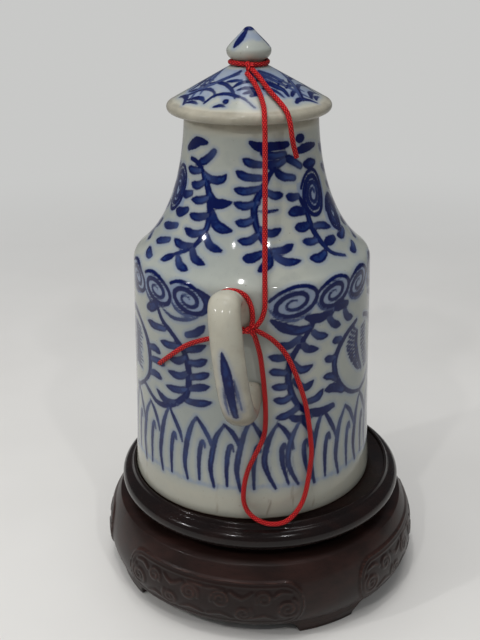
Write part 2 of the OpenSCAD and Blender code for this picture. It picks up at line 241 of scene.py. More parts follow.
def turned(outline, centre, wedges):
    """A profile of radii and heights spun round an upright axis.

    Each wedge is its first turn, its width and its steps. A slice of few steps is spun, and the wedge is
    then filled by doubling it."""
    bm = bmesh.new()
    for start, width, steps in wedges:
        doublings = 0
        while steps % 2 == 0 and steps > SLICE_STEPS:
            steps, doublings = steps // 2, doublings + 1
        slice_width = math.radians(width) / 2 ** doublings
        a = math.radians(start - 90)
        row = [bm.verts.new((centre[0] + r * math.cos(a), centre[1] + r * math.sin(a), z))
               for r, z in outline]
        edges = [bm.edges.new(pair) for pair in zip(row, row[1:])]
        bmesh.ops.spin(bm, geom=row + edges, cent=(*centre, 0), axis=(0, 0, 1), angle=slice_width,
                       steps=steps, use_merge=False)
        slices = [f for f in bm.faces if not f.tag]
        for k in range(doublings):
            new = bmesh.ops.duplicate(bm, geom=slices)["geom"]
            bmesh.ops.rotate(bm, cent=(*centre, 0), matrix=Matrix.Rotation(slice_width * 2 ** k, 3, "Z"),
                             verts=[g for g in new if isinstance(g, bmesh.types.BMVert)])
            slices += [g for g in new if isinstance(g, bmesh.types.BMFace)]
        for face in slices:
            face.tag = True
    bmesh.ops.remove_doubles(bm, verts=bm.verts, dist=0.002)
    bmesh.ops.recalc_face_normals(bm, faces=bm.faces)
    return bm


def rods(places, radius, length, lay):
    """Round rods that stand on places, laid over by a matrix."""
    bm = bmesh.new()
    for at in places:
        bmesh.ops.create_cone(bm, cap_ends=True, segments=24, radius1=radius, radius2=radius,
                              depth=length, matrix=Matrix.Translation(at) @ lay)
    return bm


def drilled(bm, drill):
    """The same mesh with holes where the drill's rods go through it."""
    pair = []
    for name, part in (("blank", bm), ("drill", drill)):
        mesh = bpy.data.meshes.new(name)
        part.to_mesh(mesh)
        part.free()
        pair.append(bpy.data.objects.new(name, mesh))
        scene.collection.objects.link(pair[-1])
    cut = pair[0].modifiers.new("cut", "BOOLEAN")
    cut.operation, cut.solver, cut.object = "DIFFERENCE", "MANIFOLD", pair[1]
    depsgraph = bpy.context.evaluated_depsgraph_get()
    out = bmesh.new()
    out.from_mesh(pair[0].evaluated_get(depsgraph).to_mesh())
    for piece in pair:
        mesh = piece.data
        bpy.data.objects.remove(piece)
        bpy.data.meshes.remove(mesh)
    return out


ASKEW = (0.3, 0.2, 1.0)


def hoops(line, up=None):
    """A frame at each point of a line: across, up, along, and the place. Without up it twists the least."""
    line = np.array(line, float)
    way = np.gradient(line, axis=0)
    way /= np.linalg.norm(way, axis=1)[:, None]
    side = np.cross(way[0], ASKEW if up is None else up)
    out = []
    for at, w in zip(line, way):
        side = side - w * (side @ w) if up is None else np.cross(w, up)
        side /= np.linalg.norm(side)
        out.append((side, np.cross(w, side), w, at))
    return out


def ring_at(hoop, a, b):
    """The matrix that lays a unit circle in a hoop as an oval with half widths a and b."""
    m = Matrix.Identity(4)
    for k, column in enumerate((hoop[0] * a, hoop[1] * b, hoop[2], hoop[3])):
        for row in range(3):
            m[row][k] = column[row]
    return m


def drawn(rings, sides, along, closed_ends=True):
    """A circle drawn from each ring to the next. Points keep how far along and which way round they lie."""
    bm = bmesh.new()
    keep = [bm.verts.layers.float.new(n) for n in ("along", "round_x", "round_y")]

    def mark(verts, m, at):
        back = m.inverted()
        for v in verts:
            p = back @ v.co
            v[keep[0]], v[keep[1]], v[keep[2]] = at, p.x, p.y

    ring = bmesh.ops.create_circle(bm, cap_ends=False, segments=sides, radius=1.0, matrix=rings[0])["verts"]
    mark(ring, rings[0], along[0])
    edges = first = list(bm.edges)
    for i in range(1, len(rings)):
        new = bmesh.ops.extrude_edge_only(bm, edges=edges)["geom"]
        ring = [g for g in new if isinstance(g, bmesh.types.BMVert)]
        edges = [g for g in new if isinstance(g, bmesh.types.BMEdge)]
        bmesh.ops.transform(bm, matrix=rings[i] @ rings[i - 1].inverted(), verts=ring)
        mark(ring, rings[i], along[i])
    if closed_ends:
        for loop in (first, edges):
            bmesh.ops.holes_fill(bm, edges=loop, sides=sides)
    bmesh.ops.recalc_face_normals(bm, faces=bm.faces)
    return bm


def swept(line, size, sides, up=None, closed_ends=True):
    """An oval drawn along a line. size(i) gives its two half widths."""
    rings = [ring_at(hoop, *size(i)) for i, hoop in enumerate(hoops(line, up))]
    return drawn(rings, sides, lengths(np.array(line)), closed_ends)


# ---------------------------------------------------------------- camera

EYE = (52.1, -429.2, 312.1)
TILT, SWING, ROLL = math.radians(22.885), math.radians(9.0), 0.0125
SENSOR, LENS = 36, 54
# Pixels of the picture: its height, its middle, and the column that the lens points at
PICTURE_H, MIDDLE, LENS_AXIS = 640, 240, 227.67
camera = bpy.data.objects.new("camera", bpy.data.cameras.new("camera"))
scene.collection.objects.link(camera)
scene.camera = camera
camera.data.sensor_width = SENSOR
camera.data.lens = LENS
camera.data.shift_x = (MIDDLE - LENS_AXIS) / PICTURE_H
camera.data.clip_start = 0.02
camera.rotation_mode = "QUATERNION"
camera.location = Vector(EYE) * MM
forward = Vector((-math.sin(SWING) * math.cos(TILT), math.cos(SWING) * math.cos(TILT), -math.sin(TILT)))
roll = Matrix.Rotation(-ROLL, 4, "Z").to_quaternion()
camera.rotation_quaternion = forward.to_track_quat("-Z", "Y") @ roll

# ---------------------------------------------------------------- cord

CORD, CORD_SIDES = 2.2, 14
STRANDS, STRAND_PITCH = 3, 3.4
TETHER = [
    (-4, -14.4, 249.7), (-1.5, -17.6, 247.7), (0.8, -21, 245.5), (2.7, -24.6, 243.2), (4.3, -28.6, 240.8),
    (5.5, -32.6, 238.7), (6.2, -36.1, 236.2), (6.6, -38.5, 232.5), (6.9, -39.8, 226.8), (7.5, -44.3, 209),
    (8.1, -49.2, 190), (8.7, -54.1, 171), (9, -56, 163.4), (8.9, -56.8, 158.4), (7.8, -57.8, 154.6),
    (6.3, -59.2, 152.5),
]
LID_TAIL = [
    (-1.8, -13, 251), (1.6, -16.4, 248.4), (4.4, -19.6, 245.7), (7.4, -22.9, 243.1), (10.6, -26, 240.6),
    (13.4, -29.3, 238.3), (15.4, -31.9, 235.8), (16.6, -33.3, 232.2), (17.2, -33, 228), (18, -32, 223),
    (19.2, -30.2, 217.6),
]
HITCH = [
    (3.8, -60.4, 151.8), (4.2, -59.4, 155), (3.4, -58, 160), (0.6, -56.9, 164.6), (-4.6, -56.6, 166.4),
    (-9.7, -56.9, 165), (-13.2, -58, 160.5), (-13.6, -59.4, 155.5), (-10.4, -60.3, 151.6),
    (-4.5, -60.6, 150.6), (0.8, -60.6, 150.6),
]
BOW = [
    (4.8, -60, 148.3), (6.4, -59.2, 142.4), (7.8, -58.8, 135), (9.5, -59.1, 118.4), (9.7, -58.9, 104),
    (8.2, -59, 96), (2, -60, 81), (0, -60.8, 68.6), (1.6, -61.6, 61.2), (6.6, -63.9, 57.9),
    (13, -65.2, 56.9), (19.4, -63, 57.2), (24.2, -57.8, 59.8), (27.5, -53, 66), (29.6, -50.6, 82),
    (29.4, -50.4, 93), (26.5, -51.4, 113), (19.9, -54.2, 133.6), (13.5, -56.8, 143.8), (6.4, -59.8, 149.8),
]
END_TAIL = [
    (1.4, -60.8, 150), (-5, -60.6, 148), (-13.6, -58.2, 144.8), (-24, -54.9, 140), (-31.6, -51.3, 133.8),
    (-40, -45.9, 125.4),
]
HANDLE_KNOT, HANDLE_KNOT_SIZE, HANDLE_KNOT_TURN = (3.6, -60.6, 150.4), 5.4, -30
LID_KNOT, LID_KNOT_SIZE, LID_KNOT_TURN = (-3.2, -11.6, 252.2), 4.6, 20
INTO_KNOT = 0.6


def braided():
    """Braided nylon: two sets of strands that wind opposite ways, with a fine fuzz of fibre.

    The grooves between the strands have painted shade, and their crests a painted highlight.
    """
    f = Finish("braided_cord", Roughness=0.5, Specular_IOR_Level=0.22)
    wind = f.layer("round_y").op("ARCTAN2", f.layer("round_x"))
    lay = f.layer("along") * (2 * math.pi / STRAND_PITCH)
    strands = (lay + wind * STRANDS).sin().abs().least((lay - wind * STRANDS).sin().abs())
    groove = strands.step(0.58, 0.1)
    fuzz = f.noise(0.35, 3.0, 0.7)
    dye = f.noise(9.0, 1.0)
    red = f.mix(dye.step(0.3, 0.7), (0.60, 0.003, 0.009), (0.74, 0.005, 0.011))
    # Painted shade in the grooves between the strands
    red = f.mix(groove * 0.9, red, (0.07, 0.0, 0.003))
    # A painted highlight on the strands' crests
    red = f.mix(strands.step(0.6, 0.92) * 0.6, red, (0.88, 0.10, 0.08))
    f.set("Base Color", f.mix(fuzz.step(0.58, 0.8) * 0.1, red, (0.85, 0.12, 0.1)))
    f.bump(strands + fuzz * 0.3, 1.0, 0.5)
    return f.material


braid = braided()


def round_cord(line, **how):
    return swept(line, lambda i: (CORD / 2, CORD / 2), CORD_SIDES, **how)


def cord(name, points, body, stands_for, knot_at=None):
    """A length of the braided cord through its route, which may run on into its knot."""
    if knot_at:
        points = points + [tuple(Vector(points[-1]).lerp(Vector(knot_at), INTO_KNOT))]
    line = rounded(points, 5)
    piece = finished(name, round_cord(line), body, braid, stands_for)
    return piece


def knot(name, at, size, turn, body, stands_for):
    """An overhand knot pulled tight: the cord's own trefoil."""
    t = np.radians(np.arange(0, 361, 7.5))
    ring = (size - CORD) / 2
    line = np.stack([
        ring * (np.sin(t) + 1.1 * np.sin(2 * t)) / 1.9,
        ring * (np.cos(t) - 1.1 * np.cos(2 * t)) / 1.9,
        -ring * 0.75 * np.sin(3 * t)], 1)
    spin = np.array(Matrix.Rotation(math.radians(turn), 3, "Y") @ Matrix.Rotation(math.radians(80), 3, "X"))
    bm = round_cord(line @ spin.T + np.array(at), closed_ends=False)
    bmesh.ops.remove_doubles(bm, verts=bm.verts, dist=0.01)
    finished(name, bm, body, braid, stands_for)


knot("tied_lid_knot", LID_KNOT, LID_KNOT_SIZE, LID_KNOT_TURN, "lid", ["lid_knot"])
knot("tied_handle_knot", HANDLE_KNOT, HANDLE_KNOT_SIZE, HANDLE_KNOT_TURN, "pot", ["handle_knot"])
cord("lid_tail_cord", LID_TAIL, "lid", ["lid_tail"])
tether = cord("tether_cord", TETHER, None, ["tether"], knot_at=HANDLE_KNOT)
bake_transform(tether, "lid", "pot", start=(0.005, -0.03, 0.240), end=(0.008, -0.057, 0.155))
cord("hitch_cord", HITCH, "pot", ["hitch_ring"])
cord("bow_cord", BOW, "pot", ["bow_loop"], knot_at=HANDLE_KNOT)
cord("end_cord", END_TAIL, "pot", ["end_tail"])

# ---------------------------------------------------------------- brushwork

TURN = math.pi / 180
# How far from a line and from a wash they are measured, and a place up where no brush comes
LINE_REACH, WASH_REACH, UNPAINTED = 4.0, 6.0, -50
# The shares of a stroke in which the brush lands and lifts off
LANDING, LIFTING = 0.32, 0.45


class Brushwork:
    """Strokes on a surface, kept as how far each of its points lies outside the nearest one.

    A point has a turn in degrees round the piece, its place up along the surface, and its radius."""

    def __init__(self, turn, up, radius):
        self.turn, self.up, self.scale = turn, up, radius * TURN
        self.line, self.wash = np.full(len(turn), WASH_REACH), np.full(len(turn), WASH_REACH)
        self.ink = np.zeros(len(turn))

    def near(self, p, reach):
        """The points within reach of a route, with their turns brought beside it."""
        middle = (p[:, 0].min() + p[:, 0].max()) / 2
        turn = (self.turn - middle + 180) % 360 - 180 + middle
        gap = reach / np.maximum(self.scale, 0.05)
        pick = ((self.up > p[:, 1].min() - reach) & (self.up < p[:, 1].max() + reach)
                & (turn > p[:, 0].min() - gap) & (turn < p[:, 0].max() + gap))
        i = np.nonzero(pick)[0]
        return i, turn[i]

    def away(self, p, half, reach):
        """Distance outside a route whose half width changes along it, and the share along it of the nearest
        place."""
        i, turn = self.near(p, reach)
        best, share = np.full(len(i), 99.0), np.zeros(len(i))
        s = lengths(p * (self.scale[i].mean() if len(i) else 1, 1))
        s = s / max(s[-1], 1e-6)
        for a, b, wa, wb, sa, sb in zip(p, p[1:], half, half[1:], s, s[1:]):
            ax, ay = (a[0] - turn) * self.scale[i], a[1] - self.up[i]
            bx, by = (b[0] - a[0]) * self.scale[i], b[1] - a[1]
            u = np.clip(-(ax * bx + ay * by) / np.maximum(bx * bx + by * by, 1e-9), 0, 1)
            d = np.hypot(ax + u * bx, ay + u * by) - (wa + u * (wb - wa))
            closer = d < best
            best[closer], share[closer] = d[closer], (sa + u * (sb - sa))[closer]
        return i, best, share

    def stroke(self, points, width, ink=0.8, start=0.55, end=0.2, parts=5):
        """One pull of the loaded brush: it lands, fills out, and lifts off to a thinner end."""
        p = rounded(points, parts)
        t = np.linspace(0, 1, len(p))
        landing = start + (1 - start) * t / LANDING
        lifting = end + (1 - end) * (1 - t) / LIFTING
        i, d, share = self.away(p, width / 2 * np.minimum(1, np.minimum(landing, lifting)), LINE_REACH)
        better = d < self.line[i]
        i, d, share = i[better], d[better], share[better]
        self.line[i] = d
        self.ink[i] = ink * (1.08 - 0.3 * share)

    def blot(self, points, width, deep=0.0):
        """A pale wash, laid with a wide wet brush."""
        p = rounded(points, 4)
        i, d, _ = self.away(p, np.full(len(p), width / 2), WASH_REACH)
        self.wash[i] = np.minimum(self.wash[i], d - deep)

    def layers(self):
        return {"cobalt_line": self.line, "cobalt_ink": self.ink, "cobalt_wash": self.wash}


def moved(points, turn=0.0, mirror=None):
    """The same stroke further round the piece, or mirrored about a turn."""
    return [((2 * mirror - x if mirror is not None else x) + turn, h) for x, h in points]


# ---------------------------------------------------------------- pot

POT, SEAT = (-4.0, 0.0), 54.0
WALL, FOOT, RIM_ROUND, NECK = 4.5, 59.4, 1.2, (30.3, 176.3)
SHOULDER, SHOULDER_ROUND, SHOULDER_TURN, NECK_PULL = (55.8, 110), 5.5, 52, 17.2
FLOOR_H, FLOOR_ROUND, FOOT_RING_W, FOOT_RING_H = 9.0, 7.0, 6.5, 3.2
STRAINER_H, STRAINER_R, STRAINER_PITCH, STRAINER_Y = 90.0, 2.2, 6.2, 54
wall_line = bezier([(FOOT, 1.2), (57.24, 33), (56.88, 82.5), SHOULDER], 60)
shoulder_line = arc((SHOULDER[0] - SHOULDER_ROUND, SHOULDER[1]), SHOULDER_ROUND, 0, SHOULDER_TURN, 10)
toward = np.array([-math.sin(math.radians(SHOULDER_TURN)), math.cos(math.radians(SHOULDER_TURN))])
neck_line = bezier([shoulder_line[-1], shoulder_line[-1] + NECK_PULL * toward, (31.4, 146.3), NECK], 60)
outer = np.vstack([wall_line[:-1], shoulder_line, neck_line[1:]])
pot_height, pot_up = outer[:, 1], lengths(outer)


def wall_at(h):
    return float(np.interp(h, pot_height, outer[:, 0]))


def band(low, high, step):
    """The outer line between two heights with its points a step apart."""
    h = pot_height[(pot_height > low) & (pot_height < high)]
    h = np.concatenate([[low], h, [high]])
    return even(np.stack([np.interp(h, pot_height, outer[:, 0]), h], 1), step)


wall_way = np.gradient(outer, axis=0)
wall_way /= np.linalg.norm(wall_way, axis=1)[:, None]
inner = outer + WALL * np.stack([-wall_way[:, 1], wall_way[:, 0]], 1)
inner = inner[inner[:, 1] > FLOOR_H + FLOOR_ROUND + 1.5]
pot_profile = np.vstack([
    [(0, FOOT_RING_H), (26, FOOT_RING_H), (FOOT - FOOT_RING_W - 0.4, FOOT_RING_H)],
    [(FOOT - FOOT_RING_W, FOOT_RING_H - 0.4), (FOOT - FOOT_RING_W + 0.4, 0.3), (FOOT - FOOT_RING_W + 0.9, 0)],
    [(FOOT - 3, 0), (FOOT - 0.9, 0), (FOOT - 0.25, 0.35)],
    *(band(low, high, step)[:-1] for low, high, step in (
        (1.2, 13, 2.4), (13, 112, 0.92), (112, 117.5, 1.1), (117.5, 171, 0.92), (171, NECK[1], 1.4))),
    arc((NECK[0] - RIM_ROUND, NECK[1]), RIM_ROUND, 0, 90, 4),
    arc((NECK[0] - WALL + RIM_ROUND, NECK[1]), RIM_ROUND, 90, 180, 4),
    even(inner[::-1], 10.0)[1:],
    arc((FOOT - WALL - 0.4 - FLOOR_ROUND, FLOOR_H + FLOOR_ROUND), FLOOR_ROUND, 0, -90, 5),
    [(30, FLOOR_H), (0, FLOOR_H)]])
# The half with the handle has finer steps
blank = turned([(r, h + SEAT) for r, h in pot_profile], POT, ((-81, 180, 240), (99, 180, 160)))
# Seven strainer holes through the wall behind the spout
sieve = [(POT[0], STRAINER_Y, SEAT + STRAINER_H)]
for q in np.radians(np.arange(30, 390, 60)):
    sieve.append((POT[0] + STRAINER_PITCH * math.cos(q), STRAINER_Y,
                  SEAT + STRAINER_H + STRAINER_PITCH * math.sin(q)))
pot_bm = drilled(blank, rods(sieve, STRAINER_R, 16, Matrix.Rotation(math.radians(90), 4, "X")))


def places(bm, centre, base):
    """The turn, radius and height of a mesh's points round an axis."""
    bm.verts.index_update()
    p = np.array([v.co for v in bm.verts])
    x, y = p[:, 0] - centre[0], p[:, 1] - centre[1]
    return np.degrees(np.arctan2(x, -y)), np.hypot(x, y), p[:, 2] - base


turn, radius, height = places(pot_bm, POT, SEAT)
outside = (radius > np.interp(height, pot_height, outer[:, 0]) - 0.3) & (height > 1)
up = np.where(outside, np.interp(height, pot_height, pot_up), UNPAINTED)
painting = Brushwork(turn, up, radius)


def on_pot(points):
    """Turns and heights as turns and places up along the wall."""
    return [(x, float(np.interp(h, pot_height, pot_up))) for x, h in points]


# ---------------------------------------------------------------- painting on the pot

# Every stroke is a route of turns and heights, with a width, how much cobalt it carries, and its two ends
LEAF, STEM, HATCH = (3.8, 0.85, 0.14, 0.8), (3.2, 0.95, 0.6, 0.5), (1.4, 0.9, 0.8, 0.5)
BROAD, DARK = (4.6, 1.0, 0.3, 0.7), (4.0, 1.7, 0.4, 0.7)
LEFT_RING = [(-59.1, 86.7), (-53.3, 82.4), (-49.7, 77.4), (-48, 71), (-48.3, 64.6), (-50.5, 59.6),
             (-54.8, 55.6)]
RIGHT_RING = [(64.7, 88.1), (58.2, 85.3), (52.5, 81), (48.9, 75.3), (48.2, 70.3), (50.3, 63.9), (54.7, 58.1),
              (61.1, 53.5), (69.7, 51)]
FIELD = [
    # Fern to the left of the handle: stem, then leaves down its right and its left
    (STEM, [(-41.9, 99.6), (-37.5, 92.4), (-31.8, 88.1), (-26, 82.4), (-23.2, 77.4), (-22.1, 71.7),
            (-22.1, 66), (-23.2, 60.3), (-26, 56.7), (-31.8, 52.4), (-37.5, 49.9), (-43.3, 49.9),
            (-49, 52.4), (-54.8, 54.9), (-60.5, 51.7), (-65.5, 49.9)]),
    ((5.0, 1.0, 0.5, 0.3), [(-49, 95), (-44, 97), (-39, 100)]),
    (LEAF, [(-13.5, 94.9), (-17.4, 91), (-22.5, 88.9)]),
    (LEAF, [(-13.1, 85.6), (-18.9, 82.8), (-25.3, 81.7)]),
    (LEAF, [(-12.8, 78.9), (-16.7, 76.4), (-21.8, 76)]), (LEAF, [(-11.7, 72.4), (-16, 70.3), (-21, 68.9)]),
    (LEAF, [(-11.7, 66), (-16.7, 64.6), (-21.8, 63.1)]),
    (LEAF, [(-10.3, 58.5), (-17.4, 56.7), (-23.2, 56.7)]),
    (LEAF, [(-49.4, 88.5), (-43.3, 87.8), (-36.1, 88.5)]),
    (LEAF, [(-39, 81.7), (-33.2, 81.4), (-27.5, 82.4)]),
    (LEAF, [(-32.9, 74.6), (-27.5, 75.3), (-23.9, 77.8)]),
    (LEAF, [(-34.3, 68.5), (-27.5, 67.8), (-22.5, 70.3)]),
    (LEAF, [(-35.8, 60.6), (-28.9, 60.6), (-22.5, 62.4)]),
    (LEAF, [(-42.9, 56.4), (-36.1, 52.8), (-28.9, 53.9)]),
    # Round flower at the left
    (STEM, LEFT_RING), (LEAF, [(-39.3, 75.3), (-43.3, 76.7), (-47.6, 76)]),
    (LEAF, [(-36.1, 70.3), (-41.1, 71), (-46.9, 70.3)]),
    (LEAF, [(-38.3, 62.8), (-43.3, 63.9), (-47.6, 63.1)]),
    # Fern to the right of the handle
    (STEM, [(36, 94.6), (31.7, 88.9), (26.7, 82.4), (24.5, 77.4), (23.8, 70.3), (25.2, 63.9), (28.1, 57.4),
            (33.1, 52.4), (39.6, 49.9), (48.2, 51)]),
    (LEAF, [(38.9, 82), (33.1, 83.1), (29.5, 86.7)]), (LEAF, [(44.2, 87), (38.9, 88.1), (36, 90.3)]),
    (LEAF, [(36, 75), (30.2, 73.5), (25.9, 77.4)]), (LEAF, [(36.4, 67.4), (31.7, 64.6), (26.7, 68.9)]),
    (LEAF, [(41.7, 61.7), (38.1, 58.1), (32.4, 57.4)]), (LEAF, [(18.8, 87.4), (23.8, 86), (28.8, 88.9)]),
    (LEAF, [(14.8, 81.7), (19.5, 80.6), (24.5, 81)]), (LEAF, [(15.2, 74.6), (18.8, 73.9), (23.1, 73.1)]),
    (LEAF, [(16.3, 67.1), (20.2, 66.7), (23.4, 66.7)]), (LEAF, [(17, 61), (21.6, 59.9), (25.2, 61.7)]),
    (LEAF, [(18, 51.7), (23.1, 52.4), (28.1, 55.3)]),
    (BROAD, [(15.9, 98.5), (21.6, 94.6), (28.8, 92.4), (34.6, 93.1)]),
    (BROAD, [(31.9, 97.8), (38.9, 96.4), (46, 97.8)]), (LEAF, [(51.8, 89.9), (47.5, 91.7), (43.9, 96)]),
    (BROAD, [(48, 98.6), (52, 99.2), (56, 99)]), (LEAF, [(61.1, 91), (56.8, 92.4), (54.7, 96)]),
    (STEM, [(80, 97), (91, 93.5), (101, 97)]), (BROAD, [(91, 93), (91.5, 87), (91, 80)]),
    (LEAF, [(83, 88), (87, 89), (91, 92)]), (LEAF, [(99, 88), (95, 89), (91, 92)]),
    (LEAF, [(86, 51), (89, 56), (90.5, 62)]), (LEAF, [(96, 51), (93.5, 56), (92, 62)]),
    # Round flower at the right
    (STEM, RIGHT_RING), (LEAF, [(47.1, 83.5), (51.8, 83.1)]),
    (LEAF, [(42.4, 76.4), (45.6, 75.2), (48.9, 75.3)]), (LEAF, [(41.4, 67.4), (46, 66.7), (50.3, 63.9)]),
    (BROAD, [(43, 60.6), (48, 60.4), (54, 57.2)]), (BROAD, [(33, 52.8), (39.6, 50.6), (47, 51.6)]),
    (LEAF, [(24, 51.8), (29, 49.6), (35, 50)]),
]
# The outer halves and the hatching of the round flowers
FLOWERS = [
    (STEM, moved(LEFT_RING, mirror=-67)), (STEM, [(-59.1, 86.7), (-67, 89), (-74.9, 86.7)]),
    (STEM, moved(RIGHT_RING, mirror=69)), (STEM, [(65.4, 82.4), (64.7, 76), (66.9, 68.9), (71.2, 61.7)]),
    (STEM, [(-66.5, 81.5), (-63.6, 75), (-64.2, 68), (-67, 60.5)]),
]
HATCHES = 11
for n in range(HATCHES):
    h = 82 - 2.0 * n
    FLOWERS += [(HATCH, [(-66.5 + 0.8 * (n % 2), h + 1.2), (-62, h), (-57.5 + 0.8 * (n % 3), h - 0.8)]),
                (HATCH, [(-75, h + 0.6), (-71.5, h), (-68, h + 0.6)])]
    h, x = 83 - 2.1 * n, 65.2 + 0.75 * max(0, n - 4)
    wide = 2.5 + 6.5 * math.sin(math.pi * (n + 1) / (HATCHES + 2))
    FLOWERS += [(HATCH, [(x - wide, h + 3.4), (x - wide / 2, h + 1.4), (x + 0.3, h)]),
                (HATCH, [(x + 5, h - 0.6), (x + 8, h), (x + 11, h + 1)])]

THROAT = [
    # Left of the neck: cloud, then the fern's stem and leaves
    ((4.6, 1.7, 0.5, 0.4), [(-53.9, 164), (-46.2, 166.4), (-39.4, 168.1), (-30.9, 168.1)]),
    (LEAF, [(-39.4, 159.2), (-30.9, 160.7), (-23.2, 164.8)]),
    (STEM, [(-47.9, 160), (-39.4, 158.9), (-33.4, 155.8), (-29.2, 152.2), (-25.7, 148.5), (-23.2, 143.7),
            (-21.5, 138.3), (-22.3, 132.6), (-25.7, 127.2), (-30.9, 123.6), (-37.7, 121), (-45.4, 117.5)]),
    ((4.0, 1.0, 0.8, 0.4), [(-40, 119.6), (-45.4, 117.6)]),
    (LEAF, [(-11.7, 155.8), (-15.5, 153.4), (-24, 153), (-31.7, 154.9)]),
    (BROAD, [(-7, 144.3), (-18.1, 143.4), (-24.9, 147.3)]),
    (BROAD, [(-5.3, 133), (-14.7, 134.4), (-20.6, 139.5)]),
    (LEAF, [(-8.7, 124.9), (-17.2, 126.7), (-21.5, 130.4)]),
    (LEAF, [(-17.2, 119.5), (-24, 121), (-28.3, 124.2)]),
    (LEAF, [(-25.3, 116.6), (-30.9, 117.6), (-35.1, 120)]),
    (LEAF, [(-50.9, 155.8), (-43.6, 155.2), (-35.1, 156)]),
    (LEAF, [(-43.6, 149.7), (-36.8, 149.4), (-30, 151.5)]),
    (LEAF, [(-40.7, 143.1), (-30.9, 143.7), (-24, 145.5)]),
    (LEAF, [(-39, 137.2), (-30.9, 136.6), (-22.3, 138.3)]),
    (LEAF, [(-39.4, 131.2), (-30.9, 129.8), (-23.2, 131.5)]),
    (LEAF, [(-44.9, 125.9), (-36.8, 124.6), (-29.2, 125.2)]),
    (BROAD, [(-54.7, 136.6), (-47.9, 136.6), (-42.4, 138.3)]),
    (LEAF, [(-52.2, 144.3), (-47, 144.4), (-42, 145.5)]),
    (LEAF, [(-65, 128.8), (-56, 129.4), (-47.9, 130.9)]),
    (LEAF, [(-62.4, 122), (-56, 123), (-49.2, 124.6)]), (LEAF, [(-65, 118.5), (-60, 117), (-55.6, 116.4)]),
    # Middle of the neck, behind the tie
    (STEM, [(25.6, 158.3), (20.5, 155.2), (17, 151.5), (12.8, 147.3), (9.4, 142.5), (9.8, 137.2),
            (11.9, 132.6), (14.5, 128.8), (17.9, 125.7), (20.5, 123.6)]),
    (LEAF, [(0.7, 162.6), (7.5, 160.7), (14.7, 160.1)]),
    (LEAF, [(-4.4, 157.6), (3.2, 155.2), (14.3, 154.6)]),
    (LEAF, [(-5.3, 150), (3.2, 149.1), (14.3, 150.3)]),
    (LEAF, [(-5.3, 144.3), (3.2, 143.1), (11.8, 144.6)]),
    (LEAF, [(-3.2, 136.6), (3.2, 136.3), (9.2, 137.8)]), (LEAF, [(-1, 129.5), (5.8, 129.3), (11.8, 132)]),
    (DARK, [(6.8, 169.4), (13.6, 167.5), (25.6, 167.5), (36.7, 167.8)]),
    (DARK, [(47.7, 169.4), (52.9, 169.4)]), ((4.0, 1.5, 0.7, 0.4), [(47.7, 164.4), (58, 165), (69.9, 165)]),
    (LEAF, [(14.5, 164.4), (23.9, 163.5), (34.1, 163.8)]),
    (LEAF, [(15.3, 160.7), (25.6, 159.5), (34.1, 161.4)]),
    (LEAF, [(34.1, 162.6), (40.9, 160.7), (48.6, 157.7)]),
    (LEAF, [(25.6, 157.7), (31.5, 154.6), (40.9, 153.4)]),
    (LEAF, [(30.7, 147.3), (24.7, 147), (18.8, 148.5)]), (HATCH, [(25.6, 141), (18.8, 140.7), (11.1, 141)]),
    (LEAF, [(26.4, 133.5), (19.6, 132), (12.8, 133.8)]),
    (LEAF, [(32.4, 127), (26.4, 125.4), (19.6, 125.2)]),
    (LEAF, [(34.5, 120.8), (25.6, 121), (19.6, 124.1)]), (BROAD, [(11.1, 118.5), (16.2, 121), (17, 124.6)]),
    (BROAD, [(3.4, 122.9), (7.7, 123.1), (12.8, 124.6)]),
    # Right of the neck
    (STEM, [(44.3, 144.3), (47.7, 138.3), (48.6, 132.6), (50.3, 128.2), (52.9, 124.1), (56.3, 120.5),
            (64.4, 118)]),
    (LEAF, [(33.2, 146.4), (38, 145.4), (42.6, 145.5)]),
    (BROAD, [(33.7, 139.2), (40.1, 139.5), (46, 138.9)]),
    (BROAD, [(36.7, 133.2), (42, 132.8), (46.9, 133.2)]),
    (LEAF, [(38.8, 127.4), (44.3, 126.7), (49.4, 126.7)]),
    (BROAD, [(40.5, 120.8), (46, 120.3), (51.1, 121.5)]), (LEAF, [(66.5, 129.5), (58, 131.5), (51.1, 132)]),
    (BROAD, [(54.6, 124.6), (63.9, 125.2)]), ((4.6, 1.0, 0.4, 0.6), [(52.9, 158), (66.5, 157.7)]),
    (LEAF, [(68.2, 125.2), (74, 124.6), (81, 125.8)]), (LEAF, [(71.6, 118), (76, 118), (81, 119.5)]),
    # A sprig between one pattern and the next
    (STEM, [(92, 166), (96, 158), (94, 149), (97, 140), (95, 132), (98, 124)]),
    (LEAF, [(80, 164), (86, 161.5), (93, 162)]), (LEAF, [(107, 163), (101, 160), (96, 158.5)]),
    (LEAF, [(79, 155), (87, 152.5), (94, 153)]), (LEAF, [(111, 156), (104, 152), (95, 150)]),
    (LEAF, [(84, 146.5), (89, 144.5), (95, 144.5)]), (LEAF, [(110, 147), (103, 143.5), (97, 142)]),
    (LEAF, [(86, 138), (91, 136.2), (96, 136)]), (LEAF, [(108, 138), (102, 135), (96, 133)]),
    (BROAD, [(88, 128.5), (92, 127), (96, 127.6)]), (BROAD, [(107, 129), (102, 126), (98, 125)]),
    (LEAF, [(90, 120), (95, 120.4), (98, 124)]), (LEAF, [(107, 120), (102, 120.6), (98, 124)]),
]


def coil(centre, wide, tall, rings, lean=0.0, start=150.0):
    """A clockwise spiral inwards from its upper left, squeezed to a width in turns and a height."""
    a = np.linspace(0, rings * 360, int(rings * 16) + 1)
    size = 1 - 0.86 * a / a[-1]
    q = np.radians(start - a)
    return [(centre[0] + wide * s * math.cos(t), centre[1] + tall * s * math.sin(t) + lean * s * math.cos(t))
            for s, t in zip(size, q)]


